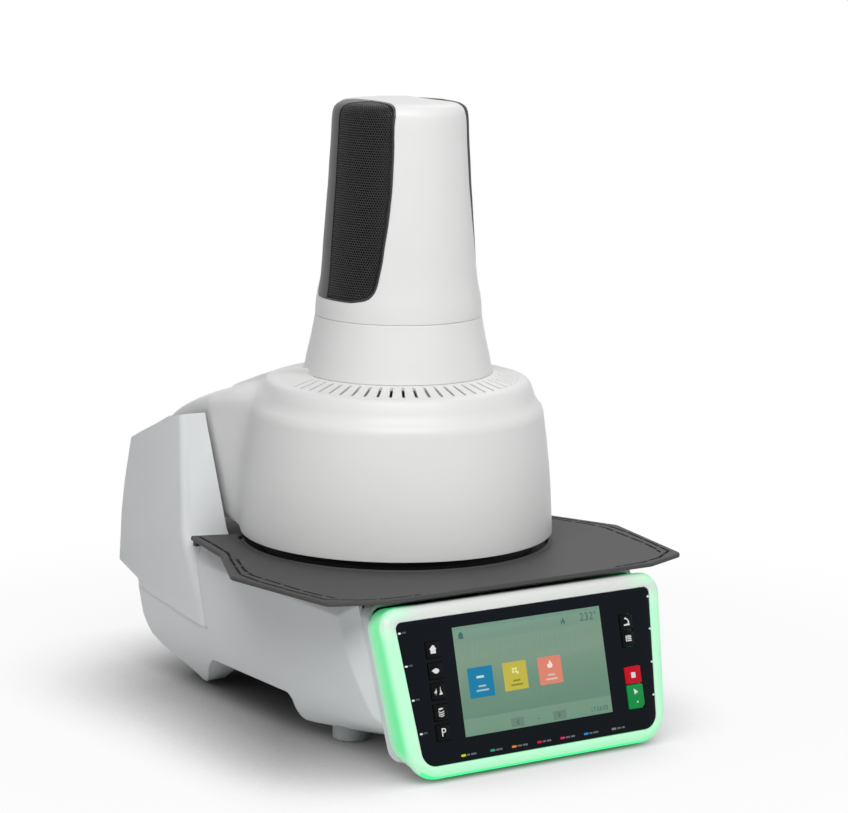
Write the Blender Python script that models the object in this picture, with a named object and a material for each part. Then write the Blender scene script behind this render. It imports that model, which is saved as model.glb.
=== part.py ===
"""Dental press furnace: a base with a tilted control panel, a cooling tray, and a round head on a
rear hinge that carries a press tower. Metres, +Z up. The origin is on the table under the middle of
the furnace. Lengths in the tables run from the head's own axis, which stands AXIS_Y behind it."""
import math

import bmesh
import bpy
from mathutils import Matrix, Vector

for item in list(bpy.data.objects):
    bpy.data.objects.remove(item, do_unlink=True)

# General sizes
FIT_GAP = 0.0003             # left between pieces that touch
CUT_OVERRUN = 0.004          # how far a cutter runs past what it cuts
SHELL_WALL = 0.003           # plastic covers
CAST_WALL = 0.004            # head casting

# Head and arm, seen from above; the cheeks and the tray follow them
DRUM_RADIUS = 0.1334
ARM_STEP = 0.0057            # the arm's widest section is narrower than the drum by this
ARM_HALF_WIDTH = DRUM_RADIUS - ARM_STEP
ARM_CLEARANCE = 0.0038       # between the arm and the top of each cheek
CHANNEL_TAPER = 0.0233       # how much nearer each cheek's inner face stands at the deck
CHEEK_THICKNESS = 0.0233     # at its top
CHANNEL_TOP_HALF = ARM_HALF_WIDTH + ARM_CLEARANCE
CHANNEL_LOW_HALF = CHANNEL_TOP_HALF - CHANNEL_TAPER
CHEEK_HALF_WIDTH = CHANNEL_TOP_HALF + CHEEK_THICKNESS

# Lengths to the rear of the head's axis
HOUSING_REAR = 0.2325        # rearmost point, at the lower rear edge
BASE_REAR = HOUSING_REAR - 0.0305
HOLLOW_REAR = BASE_REAR - SHELL_WALL * 2
POCKET_REAR = HOUSING_REAR - 0.0445
ARM_REAR = HOUSING_REAR - 0.0140
HINGE_Y = HOUSING_REAR - 0.0625
SEAM_TOP_Y = 0.0965          # front seam of the rear housing, at the deck
SEAM_LOW_Y = 0.077           # and at its lower end
CHEEK_FRONT_Y = SEAM_TOP_Y + 0.0035

# Base
DECK_Z = 0.137               # top of the base shell
BASE_BOTTOM_Z = 0.004
BASE_HALF_WIDTH = 0.1415
MID_FRONT_Y = -0.045         # where the side starts to draw in towards the panel
FRONT_CORNER = 0.010
DECK_HOLE_RADIUS = 0.062
DECK_PLATE = 0.0039
SEAM_LOW_Z = 0.066
SEAM_REAR_Z = 0.084          # same seam at the back
ARCH_TOP_Z = 0.038           # cut-out low in both sides
ARCH_FRONT_Y = 0.045         # front end of the cut-out, ahead of the axis
ARCH_FRONT_TOP_Y = 0.052
ARCH_CORNER = 0.006
ARCH_REAR_Y = BASE_REAR - 0.074
FRONT_LEG_Z = 0.012          # underside ahead of the cut-out
BOTTOM_PLATE_Z = 0.040
FOOT_RADIUS = 0.0155
FOOT_SEAT_Z = 0.015
foot_front_share = 0.6466    # how far out each foot stands, of the base's half width
foot_rear_share = 0.622
FOOT_FRONT = (BASE_HALF_WIDTH * foot_front_share, 0.076)               # beside and ahead of the axis
FOOT_REAR = (BASE_HALF_WIDTH * foot_rear_share, BASE_REAR - 0.037)     # beside and behind the axis

# Rear housing with the two hinge cheeks
CHEEK_RISE = 0.113           # above the deck
CHEEK_TOP_Z = DECK_Z + CHEEK_RISE
REAR_RECESS_HALF = 0.088     # recess for the sockets in the rear face
REAR_RECESS_DEPTH = HOUSING_REAR - 0.0175
REAR_RECESS_TOP_Z = DECK_Z - 0.0035
REAR_RECESS_LOW_Z = REAR_RECESS_TOP_Z - 0.022
REAR_PLATE = 0.002
INLET_X = -0.055
INLET_HALF = (0.0140, 0.0095)
SWITCH_X = -0.022
SWITCH_HALF = (0.0065, 0.0092)
SWITCH_AXLE_Y = REAR_RECESS_DEPTH + REAR_PLATE
SWITCH_TILT = math.radians(8)   # each way from the middle; the rocker rests in its off position
PORT_X = 0.050
PORT_RADIUS = 0.006
SOCKET_Z = (REAR_RECESS_LOW_Z + REAR_RECESS_TOP_Z) / 2
SOCKET_RISE = 0.005          # how far the sockets stand out of the rear cover

# Control panel: its centre ahead of the axis, and its lean
PANEL_Y = 0.2075
PANEL_Z = 0.0751
PANEL_LEAN = math.radians(14.87)
PANEL_TOP = 0.0535           # glass edges above and below the centre
PANEL_BOTTOM = 0.0624
GLASS_TOP_HALF = 0.1249
GLASS_BOTTOM_HALF = 0.1144
GLASS_THICKNESS = 0.0030
GLASS_CORNER_LOW = 0.013
GLASS_CORNER_TOP = 0.005
RING_TOP = 0.0670            # light ring edges above and below the centre
RING_BOTTOM = 0.0740
RING_TOP_HALF = 0.1335
RING_BOTTOM_HALF = 0.1215
RING_DEPTH = 0.0310
RING_CORNER_LOW = 0.028
RING_CORNER_TOP = 0.017
RING_FRONT_ROUND = 0.0075
RING_FLARE = 0.0018          # how much wider the ring is at its back
RING_TUCK = 0.0110           # how much its lower side rises towards the back
RING_LEDGE = 0.006
BAND_DEPTH = 0.0500          # rear edge of the grey band behind the ring
BAND_BOTTOM = 0.0420
BAND_TOP = 0.0715
BAND_SPREAD = 0.0052         # how much wider the band is where it meets the base
BAND_CORNER_LOW = 0.014
BAND_CORNER_TOP = 0.012
SCREEN_WIDTH = 0.1456
SCREEN_HEIGHT = 0.0881
KEY_SIZE = 0.0128
KEY_RISE = 0.0008            # how far a key stands out of the glass
KEY_DEPTH = 0.0062
LEFT_KEYS_U = -0.0937        # key columns beside the display, and each key's height in them
LEFT_KEYS_V = (0.0289, 0.0121, -0.0043, -0.0210, -0.0372)
RIGHT_KEYS_U = 0.0970
RIGHT_KEYS_V = (0.0273, 0.0132)
STOP_KEY_V = -0.01665
STOP_KEY_HEIGHT = 0.0143
START_KEY_V = -0.0344
START_KEY_HEIGHT = 0.0198
BOARD_DEPTH = 0.0135

# Cooling tray
TRAY_THICKNESS = 0.0039
TRAY_LIFT = 0.0006           # between the deck plate and the tray
TRAY_TOP_Z = DECK_Z + DECK_PLATE + TRAY_LIFT + TRAY_THICKNESS
TRAY_HALF_WIDTH = 0.1950
TRAY_FRONT = PANEL_Y - 0.0176
TRAY_REAR = SEAM_TOP_Y - 0.0040
TRAY_REAR_SLANT = 0.0143     # how far its rear edge runs forward from the tips
TRAY_HOLE_RADIUS = DRUM_RADIUS - 0.0134
HOOK_INNER_X = BASE_HALF_WIDTH + 0.0017        # hooks under the tray's rear corners
HOOK_SIZE = 0.0045
HOOK_REAR = TRAY_REAR - 0.0005
TRAY_TIP_X = HOOK_INNER_X + HOOK_SIZE + 0.0032

# Head
HEAD_BOTTOM_Z = TRAY_TOP_Z + 0.0081
HEAD_HEIGHT = 0.1375
HEAD_TOP_Z = HEAD_BOTTOM_Z + HEAD_HEIGHT       # where the crown meets the tower skirt
HINGE_Z = HEAD_BOTTOM_Z + 0.0365
PIN_RADIUS = 0.005
cheek_hollow_share = 0.975   # outer side of the hollow in each cheek, of the cheeks' half width
PIN_HALF_LENGTH = CHEEK_HALF_WIDTH * cheek_hollow_share - SHELL_WALL
SLOT_COUNT = 31              # cooling slots in the crown
SLOT_PITCH = math.radians(6.0)
SLOT_WIDTH = 0.0023

# Press tower
SKIRT_RADIUS = 0.0810
SKIRT_TAPER = 0.0102
SKIRT_HEIGHT = 0.0480
TOWER_BASE_Z = HEAD_TOP_Z + SKIRT_HEIGHT
TOWER_HEIGHT = 0.1815
TOWER_TOP_Z = TOWER_BASE_Z + TOWER_HEIGHT
TOWER_RADIUS = SKIRT_RADIUS - SKIRT_TAPER      # where the skirt meets the tower
TOWER_WALL = 0.0026
window_half_share = 0.675    # side window for a grille: half of its depth in Y, of the tower's radius
window_top_share = 0.41      # where it ends on the tower's top, beside the middle
WINDOW_LOW_Z = TOWER_BASE_Z + 0.0160
WINDOW_SPREAD = 1.351        # its front edge over the shoulder: distance ahead per distance aside
WINDOW_TOP_CORNER = 0.0060
WINDOW_CORNER = 0.0120
GRILLE_SET_BACK = 0.0006
GRILLE_WALL = 0.0018
GRILLE_HOLE = 0.0078
GRILLE_PITCH = 0.0170
SLOT_INNER_RADIUS = SKIRT_RADIUS + 0.0030
slot_outer_share = 0.776     # of the drum's radius

# Firing chamber and press drive
MUFFLE_RADIUS = 0.050
MUFFLE_LOW_Z = HEAD_BOTTOM_Z + 0.0050
MUFFLE_TOP_Z = MUFFLE_LOW_Z + 0.0715
TABLE_RADIUS = MUFFLE_RADIUS - 0.0068
TABLE_POST_RADIUS = 0.0288
INSULATION_RADIUS = DRUM_RADIUS - 0.0294
INSULATION_TOP_Z = MUFFLE_TOP_Z + 0.0220
PLUNGER_RADIUS = 0.009
PLUNGER_LOW_Z = MUFFLE_TOP_Z - 0.0120
PLUNGER_TOP_Z = INSULATION_TOP_Z + 0.0040
MOTOR_PLATE_Z = TOWER_TOP_Z - 0.0565
MOTOR_HALF = 0.021
MOTOR_HEIGHT = 0.040
CROSSHEAD_Z = MOTOR_PLATE_Z - 0.0620
CROSSHEAD_THICKNESS = 0.010
RAM_TUBE_RADIUS = 0.011
SCREW_RADIUS = 0.005
SCREW_LOW_Z = PLUNGER_TOP_Z + 0.0690
ROD_X = 0.034
ROD_RADIUS = 0.004
ROD_LOW_Z = INSULATION_TOP_Z + FIT_GAP

ACROSS = BASE_HALF_WIDTH + CHEEK_HALF_WIDTH      # cutters run this far to each side
AXIS_Y = (PANEL_Y + (RING_BOTTOM - RING_FRONT_ROUND) * math.sin(PANEL_LEAN) - HOUSING_REAR) / 2

# The panel's own frame: right, up its face, and out of it
PANEL_RIGHT = Vector((1, 0, 0))
PANEL_UP = Vector((0, math.sin(PANEL_LEAN), math.cos(PANEL_LEAN)))
PANEL_OUT = Vector((0, -math.cos(PANEL_LEAN), math.sin(PANEL_LEAN)))
PANEL_CENTRE = Vector((0, -PANEL_Y, PANEL_Z))


# Materials

def material(name, colour, roughness, metallic=0.0, glow=0.0):
    """A plain surface with the part's colour."""
    made = bpy.data.materials.new(name)
    made.use_nodes = True
    shader = made.node_tree.nodes['Principled BSDF']
    shader.inputs['Base Color'].default_value = (*colour, 1.0)
    shader.inputs['Roughness'].default_value = roughness
    shader.inputs['Metallic'].default_value = metallic
    shader.inputs['Emission Color'].default_value = (*colour, 1.0)
    shader.inputs['Emission Strength'].default_value = glow
    return made


GREY = material('grey_cover', (0.68, 0.70, 0.71), 0.45)
WHITE = material('white_cover', (0.72, 0.72, 0.71), 0.38)
BLACK_PAINT = material('black_coat', (0.075, 0.075, 0.072), 0.48)
BLACK_PLASTIC = material('black_plastic', (0.02, 0.02, 0.02), 0.55)
GLASS = material('panel_glass', (0.008, 0.010, 0.013), 0.12)
SCREEN = material('screen', (0.33, 0.42, 0.38), 0.2, glow=0.6)
LIGHT = material('light_ring', (0.45, 0.90, 0.58), 0.35, glow=0.8)
KEY_BLACK = material('key_black', (0.012, 0.013, 0.016), 0.3)
KEY_RED = material('key_red', (0.62, 0.02, 0.05), 0.35)
KEY_GREEN = material('key_green', (0.02, 0.38, 0.10), 0.35)
RUBBER = material('foot_rubber', (0.35, 0.36, 0.36), 0.7)
STEEL = material('steel', (0.55, 0.55, 0.54), 0.35, 1.0)
DARK_STEEL = material('dark_steel', (0.12, 0.12, 0.12), 0.5, 0.8)
CERAMIC = material('ceramic', (0.78, 0.74, 0.68), 0.8)
QUARTZ = material('quartz', (0.80, 0.80, 0.78), 0.15)
BOARD = material('circuit_board', (0.02, 0.12, 0.06), 0.5)
BRASS = material('brass', (0.60, 0.42, 0.16), 0.35, 1.0)
RUBBER_BLACK = material('seal_rubber', (0.015, 0.015, 0.015), 0.75)


# Building functions

ROOT = bpy.data.objects.new('furnace', None)
ROOT.location = (0, AXIS_Y, 0)
bpy.context.scene.collection.objects.link(ROOT)


def frame(name, place, parent):
    """An empty that carries moving pieces, on their joint's axis."""
    empty = bpy.data.objects.new(name, None)
    empty.location = Vector(place) - (Vector(parent['place']) if 'place' in parent else Vector())
    empty['place'] = place
    empty.parent = parent
    bpy.context.scene.collection.objects.link(empty)
    return empty


def solid(name, bm, surface=None, parent=None):
    """Turn a bmesh, modelled about the head's axis, into a named object."""
    bmesh.ops.remove_doubles(bm, verts=bm.verts, dist=FIT_GAP / 30)
    bmesh.ops.recalc_face_normals(bm, faces=bm.faces)
    mesh = bpy.data.meshes.new(name)
    bm.to_mesh(mesh)
    bm.free()
    obj = bpy.data.objects.new(name, mesh)
    bpy.context.scene.collection.objects.link(obj)
    if surface:
        finish(obj, surface, parent or ROOT)
    return obj


def finish(obj, surface, parent):
    """Give a piece its material and its place under its body's empty."""
    obj.data.materials.clear()
    obj.data.materials.append(surface)
    obj.data.shade_smooth()
    obj.data.set_sharp_from_angle(angle=math.radians(32))
    if 'place' in parent:
        obj.data.transform(Matrix.Translation(-Vector(parent['place'])))
    obj.parent = parent
    return obj


def combine(obj, tool, operation='DIFFERENCE'):
    """Cut one shape with another, or join them, and remove the tool."""
    change = obj.modifiers.new(operation.lower(), 'BOOLEAN')
    change.operation = operation
    change.object = tool
    bpy.context.view_layer.update()
    evaluated = obj.evaluated_get(bpy.context.evaluated_depsgraph_get())
    result = bpy.data.meshes.new_from_object(evaluated)
    bm = bmesh.new()
    bm.from_mesh(result)
    bmesh.ops.remove_doubles(bm, verts=bm.verts, dist=FIT_GAP / 100)
    bmesh.ops.dissolve_degenerate(bm, edges=bm.edges, dist=FIT_GAP / 100)
    bm.to_mesh(result)
    bm.free()
    obj.modifiers.clear()
    old = obj.data
    obj.data = result
    bpy.data.meshes.remove(old)
    bpy.data.objects.remove(tool, do_unlink=True)
    return obj


def rounded(corners, steps=4):
    """A closed outline from (x, y, radius) corners, each rounded by an arc."""
    points = []
    count = len(corners)
    for index, (x, y, radius) in enumerate(corners):
        here = Vector((x, y))
        before = Vector(corners[index - 1][:2]) - here
        after = Vector(corners[(index + 1) % count][:2]) - here
        if radius == 0:
            points.append((x, y))
            continue
        half = before.angle(after) / 2
        reach = radius / math.tan(half)
        middle = here + (before.normalized() + after.normalized()).normalized() * (radius / math.sin(half))
        start = here + before.normalized() * reach - middle
        turn = start.angle_signed(here + after.normalized() * reach - middle)
        for step in range(steps + 1):
            angle = -turn * step / steps
            spoke = Matrix.Rotation(angle, 2) @ start
            points.append(tuple(middle + spoke))
    return points


def mirrored(half):
    """A whole outline from (x, y, radius) corners on the right side, front to rear."""
    return list(half) + [(-x, y, radius) for x, y, radius in reversed(half)]


def loft(name, rings, surface=None, parent=None):
    """A closed skin through rings of equally many points."""
    bm = bmesh.new()
    rows = [[bm.verts.new(point) for point in ring] for ring in rings]
    twisted = []
    for low, high in zip(rows, rows[1:]):
        count = len(low)
        for index in range(count):
            other = (index + 1) % count
            face = bm.faces.new((low[index], low[other], high[other], high[index]))
            face.normal_update()
            if abs(face.normal.dot(high[index].co - low[index].co)) > FIT_GAP / 30:
                twisted.append(face)
    bm.faces.new(rows[0])
    bm.faces.new(rows[-1])
    bmesh.ops.triangulate(bm, faces=twisted, quad_method='FIXED')
    return solid(name, bm, surface, parent)


def prism(name, outline, place, start, end, surface=None, parent=None):
    """An outline carried along an axis: place(a, b, c) puts outline point a, b at distance c."""
    rings = [[place(a, b, c) for a, b in outline] for c in (start, end)]
    return loft(name, rings, surface, parent)


def along_x(a, b, c):
    return (c, a, b)


def along_y(a, b, c):
    return (a, c, b)


def along_z(a, b, c):
    return (a, b, c)


def on_panel(a, b, c):
    """A point a to the right and b up the panel's face, c behind it."""
    return PANEL_CENTRE + PANEL_RIGHT * a + PANEL_UP * b - PANEL_OUT * c


def turned(name, profile, segments=40, surface=None, parent=None, centre=(0, 0)):
    """A closed (radius, height) profile turned round an upright axis."""
    bm = bmesh.new()
    middle = Vector((*centre, 0))
    verts = [bm.verts.new(Vector((radius, 0, height)) + middle) for radius, height in profile]
    edges = []
    for index in range(len(verts)):
        on_axis = profile[index - 1][0] == 0 and profile[index][0] == 0
        if not on_axis:
            edges.append(bm.edges.new((verts[index - 1], verts[index])))
    bmesh.ops.spin(bm, geom=verts + edges, cent=middle, axis=(0, 0, 1), angle=math.tau, steps=segments,
                   use_merge=True)
    return solid(name, bm, surface, parent)


def rod(name, radius, start, end, centre, place=along_z, segments=20, surface=None, parent=None):
    """A round bar along one axis."""
    outline = []
    for step in range(segments):
        angle = math.tau * step / segments
        outline.append((centre[0] + radius * math.cos(angle), centre[1] + radius * math.sin(angle)))
    return prism(name, outline, place, start, end, surface, parent)


def block(name, low, high, surface=None, parent=None):
    """A box between two corners."""
    outline = [(low[0], low[1]), (high[0], low[1]), (high[0], high[1]), (low[0], high[1])]
    return prism(name, outline, along_z, low[2], high[2], surface, parent)


def circle_shares(profile_shares, radius, low, high, grow=0.0):
    """(radius, height) points from (height share, radius share) pairs, grown square to the axis."""
    return [(radius * part + grow if part else 0.0, low + (high - low) * level)
            for level, part in profile_shares]


# Base shell

# Height, then front corner half width and reach, the middle of the side, and the rear corner's half
# width, reach and radius, as shares of the deck height, the half width, the panel's distance and the rear.
base_ring_shares = (
    (0.030, 0.36, 0.70, 0.80, 0.79, 0.787, 0.140),
    (0.155, 0.66, 0.80, 0.92, 0.90, 0.881, 0.110),
    (0.270, 0.89, 0.95, 0.960, 0.98, 0.946, 0.080),
    (0.395, 0.925, 0.96, 0.978, 0.99, 0.973, 0.065),
    (0.620, 0.97, 0.96, 0.985, 1.015, 1.000, 0.060),
    (1.000, 1.00, 0.96, 0.993, 1.015, 1.000, 0.060),
)


def base_ring(share, inset=0.0, lift=0.0):
    """One level of the base, drawn in by inset."""
    level, front_half, front, mid_half, rear_half, rear, radius = share
    height = DECK_Z * level + lift
    half = mirrored((
        (BASE_HALF_WIDTH * front_half - inset, -PANEL_Y * front, FRONT_CORNER),
        (BASE_HALF_WIDTH * mid_half - inset, MID_FRONT_Y, 0),
        (BASE_HALF_WIDTH * rear_half - inset, BASE_REAR * rear - inset, BASE_REAR * radius),
    ))
    return [(x, y, height) for x, y in rounded(half)]


def behind_panel(depth):
    """Everything ahead of a plane that lies depth behind the panel's face."""
    far = PANEL_Y * 2
    outline = [(-ACROSS, -far), (ACROSS, -far), (ACROSS, far), (-ACROSS, far)]
    return prism('cutter', outline, on_panel, depth, -far)


def seam_wedge(gap):
    """The space of the rear housing above the seam, grown by gap."""
    far = HOUSING_REAR + CUT_OVERRUN
    slope = (SEAM_TOP_Y - SEAM_LOW_Y) / (DECK_Z - SEAM_LOW_Z)
    over = DECK_Z + CUT_OVERRUN
    outline = [
        (SEAM_LOW_Y - gap, SEAM_LOW_Z - gap),
        (far, SEAM_REAR_Z - gap),
        (far, over),
        (SEAM_TOP_Y + slope * CUT_OVERRUN - gap, over),
    ]
    return prism('cutter', outline, along_x, -ACROSS, ACROSS)


def build_base_shell():
    """The lower body: drafted skirt with arches, deck on top, pads over the feet."""
    shell = loft('base_shell', [base_ring(share) for share in base_ring_shares])
    combine(shell, behind_panel(BAND_DEPTH + FIT_GAP))
    hollow = [base_ring(share, SHELL_WALL) for share in base_ring_shares]
    hollow[0] = [(x, y, -CUT_OVERRUN) for x, y, z in hollow[0]]
    hollow[-1] = [(x, y, DECK_Z - SHELL_WALL) for x, y, z in hollow[-1]]
    combine(shell, loft('cutter', hollow))
    combine(shell, rod('cutter', DECK_HOLE_RADIUS, DECK_Z - SHELL_WALL * 2, DECK_Z + CUT_OVERRUN, (0, 0),
                       segments=40))
    for x, y in foot_places():
        combine(shell, foot_pad(x, y), 'UNION')
    arch = rounded((
        (-PANEL_Y, -CUT_OVERRUN, 0),
        (ARCH_REAR_Y, -CUT_OVERRUN, 0),
        (ARCH_REAR_Y, BASE_BOTTOM_Z, 0),
        (SEAM_LOW_Y, ARCH_TOP_Z, 0),
        (-ARCH_FRONT_TOP_Y, ARCH_TOP_Z, ARCH_CORNER),
        (-ARCH_FRONT_Y, FRONT_LEG_Z, 0),
        (-PANEL_Y, FRONT_LEG_Z, 0),
    ))
    combine(shell, prism('cutter', arch, along_x, -ACROSS, ACROSS))
    combine(shell, seam_wedge(FIT_GAP))
    for x, y in foot_places():
        combine(shell, rod('cutter', FOOT_RADIUS + FIT_GAP, -CUT_OVERRUN, FOOT_SEAT_Z, (x, y)))
    finish(shell, GREY, ROOT)


def foot_pad(x, y):
    """A solid seat over a foot, joined to the nearest side wall and drafted like it."""
    radius = FOOT_RADIUS + SHELL_WALL
    top = FOOT_SEAT_Z + SHELL_WALL
    pad = rod('joined', radius, 0, top, (x, y))
    far = math.copysign(BASE_HALF_WIDTH, x)
    web = block('joined', (min(x, far), y - radius / 2, 0), (max(x, far), y + radius / 2, top))
    combine(pad, web, 'UNION')
    return combine(pad, loft('joined', [base_ring(share, FIT_GAP) for share in base_ring_shares]), 'INTERSECT')


def foot_places():
    """Centres of the four feet."""
    return [(side * x, y) for x, y in ((FOOT_FRONT[0], -FOOT_FRONT[1]), FOOT_REAR) for side in (-1, 1)]


def build_feet():
    """Rubber feet with a chamfered tread."""
    top = FOOT_SEAT_Z - FIT_GAP
    chamfer = FOOT_RADIUS / 12
    profile = [(0, 0), (FOOT_RADIUS - chamfer, 0), (FOOT_RADIUS, chamfer), (FOOT_RADIUS, top), (0, top)]
    names = ('foot_front_left', 'foot_front_right', 'foot_rear_left', 'foot_rear_right')
    for name, place in zip(names, foot_places()):
        turned(name, profile, 20, RUBBER, ROOT, place)


def build_bottom_plate():
    """The steel plate that closes the underside above the arches."""
    half = BASE_HALF_WIDTH * 0.935
    corner = FRONT_CORNER * 2
    outline = rounded(mirrored(((half * 0.92, -PANEL_Y * 0.76, corner), (half, MID_FRONT_Y, 0),
                                (half, BASE_REAR * 0.93, corner))))
    top = BOTTOM_PLATE_Z + REAR_PLATE
    prism('bottom_plate', outline, along_z, BOTTOM_PLATE_Z, top, DARK_STEEL, ROOT)


# Rear housing

# Height, front edge, rear edge and half width, as shares of the cheek height, the cheek front, the rear
# and the cheek half width; the last two are the rounding of the front and rear upright edges.
housing_ring_shares = (
    (0.240, 0.753, 0.868, 0.930, 0.12, 0.030),
    (0.336, 0.820, 0.868, 0.936, 0.12, 0.028),
    (0.346, 0.827, 0.872, 0.938, 0.12, 0.025),
    (0.390, 0.858, 1.000, 0.950, 0.12, 0.022),
    (0.548, 0.965, 0.950, 0.976, 0.11, 0.022),
    (0.584, 1.000, 0.940, 0.981, 0.08, 0.022),
    (0.698, 1.000, 0.903, 0.990, 0.06, 0.022),
    (0.850, 1.000, 0.845, 0.996, 0.06, 0.022),
    (1.050, 1.000, 0.770, 1.000, 0.06, 0.022),
)
# The cheeks' upper edge, as shares of the housing's rear and the cheeks' height
edge_fall_share = 0.06       # how much lower it ends past the rear
cheek_edge_shares = ((0.430, 1.000), (0.523, 0.983), (0.634, 0.937), (0.745, 0.895), (0.845, 0.853))


def housing_ring(share):
    """One level of the rear housing."""
    level, front, rear, half, front_round, rear_round = share
    width = CHEEK_HALF_WIDTH * half
    corners = mirrored((
        (width, CHEEK_FRONT_Y * front, CHEEK_FRONT_Y * front_round),
        (width, HOUSING_REAR * rear, HOUSING_REAR * rear_round),
    ))
    return [(x, y, CHEEK_TOP_Z * level) for x, y in rounded(corners)]


def channel_half(height):
    """Half of the space between the cheeks at a height."""
    share = (height - DECK_Z) / (CHEEK_TOP_Z - DECK_Z)
    return CHANNEL_LOW_HALF + (CHANNEL_TOP_HALF - CHANNEL_LOW_HALF) * share


def build_rear_housing():
    """The rear cover: one hollow shell whose two cheeks carry the hinge pin."""
    shell = loft('rear_housing', [housing_ring(share) for share in housing_ring_shares])
    far = HOUSING_REAR + CUT_OVERRUN
    side = CHEEK_HALF_WIDTH + CUT_OVERRUN
    high = CHEEK_TOP_Z * 1.1
    under = [(0, 0), (far, 0), (far, SEAM_REAR_Z), (SEAM_LOW_Y, SEAM_LOW_Z), (0, SEAM_LOW_Z)]
    combine(shell, prism('cutter', under, along_x, -side, side))
    edge = [(HOUSING_REAR * back, CHEEK_TOP_Z * level) for back, level in cheek_edge_shares]
    last_level = cheek_edge_shares[-1][1]
    fallen = CHEEK_TOP_Z * (last_level - edge_fall_share)
    above = [(0, high), (0, CHEEK_TOP_Z)] + edge + [(far, fallen), (far, high)]
    combine(shell, prism('cutter', above, along_x, -side, side))
    low = DECK_Z
    channel = [(-channel_half(low), low), (channel_half(low), low), (channel_half(high), high),
               (-channel_half(high), high)]
    combine(shell, prism('cutter', channel, along_y, 0, far))
    build_housing_hollows(shell)
    combine(shell, rod('cutter', PIN_RADIUS + FIT_GAP, -PIN_HALF_LENGTH - FIT_GAP, PIN_HALF_LENGTH + FIT_GAP,
                       (HINGE_Y, HINGE_Z), along_x))
    recess = (REAR_RECESS_HALF, far, REAR_RECESS_TOP_Z)
    combine(shell, block('cutter', (-REAR_RECESS_HALF, REAR_RECESS_DEPTH, REAR_RECESS_LOW_Z), recess))
    lip = SHELL_WALL / 3
    window = (REAR_RECESS_HALF - SHELL_WALL, far, REAR_RECESS_TOP_Z - lip)
    low_corner = (SHELL_WALL - REAR_RECESS_HALF, HOLLOW_REAR - lip, REAR_RECESS_LOW_Z + lip)
    combine(shell, block('cutter', low_corner, window))
    finish(shell, GREY, ROOT)


def build_housing_hollows(shell):
    """Hollow the lower box and both cheeks."""
    front = CHEEK_FRONT_Y + SHELL_WALL
    floor = DECK_Z - SHELL_WALL
    half = CHEEK_HALF_WIDTH * 0.93 - SHELL_WALL * 2
    combine(shell, block('cutter', (-half, front, SEAM_LOW_Z - CUT_OVERRUN), (half, HOLLOW_REAR, floor)))
    low = floor - CUT_OVERRUN
    high = HINGE_Z + SHELL_WALL * 5
    outer = CHEEK_HALF_WIDTH * cheek_hollow_share - SHELL_WALL
    for side in (-1, 1):
        pocket = [
            (side * (channel_half(low) + SHELL_WALL), low),
            (side * outer, low),
            (side * outer, high),
            (side * (channel_half(high) + SHELL_WALL), high),
        ]
        combine(shell, prism('cutter', pocket, along_y, front, POCKET_REAR))


def build_hinge():
    """The fixed pin, its bushes in the cheeks and the lift motor beside it."""
    rod('hinge_pin', PIN_RADIUS, -PIN_HALF_LENGTH, PIN_HALF_LENGTH, (HINGE_Y, HINGE_Z), along_x, 20, STEEL)
    inner = channel_half(HINGE_Z + PIN_RADIUS * 2) + SHELL_WALL + FIT_GAP
    length = SHELL_WALL * 3
    for side, name in ((-1, 'hinge_bush_left'), (1, 'hinge_bush_right')):
        bush = rod(name, PIN_RADIUS * 2, side * inner, side * (inner + length), (HINGE_Y, HINGE_Z), along_x)
        hole = rod('cutter', PIN_RADIUS + FIT_GAP, side * (inner - CUT_OVERRUN),
                   side * (inner + length + CUT_OVERRUN), (HINGE_Y, HINGE_Z), along_x)
        finish(combine(bush, hole), BRASS, ROOT)
    start = inner + length + FIT_GAP
    end = PIN_HALF_LENGTH - FIT_GAP
    motor = rod('lift_motor', PIN_RADIUS * 2.6, start, end, (HINGE_Y, HINGE_Z), along_x)
    body = block('cutter', (start, HINGE_Y - PIN_RADIUS * 11, HINGE_Z - PIN_RADIUS * 2.5),
                 (end, HINGE_Y, HINGE_Z + PIN_RADIUS * 2.5))
    combine(motor, body, 'UNION')
    hole = rod('cutter', PIN_RADIUS + FIT_GAP, start - CUT_OVERRUN, end + CUT_OVERRUN, (HINGE_Y, HINGE_Z),
               along_x)
    finish(combine(motor, hole), DARK_STEEL, ROOT)


# Rear sockets

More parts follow.
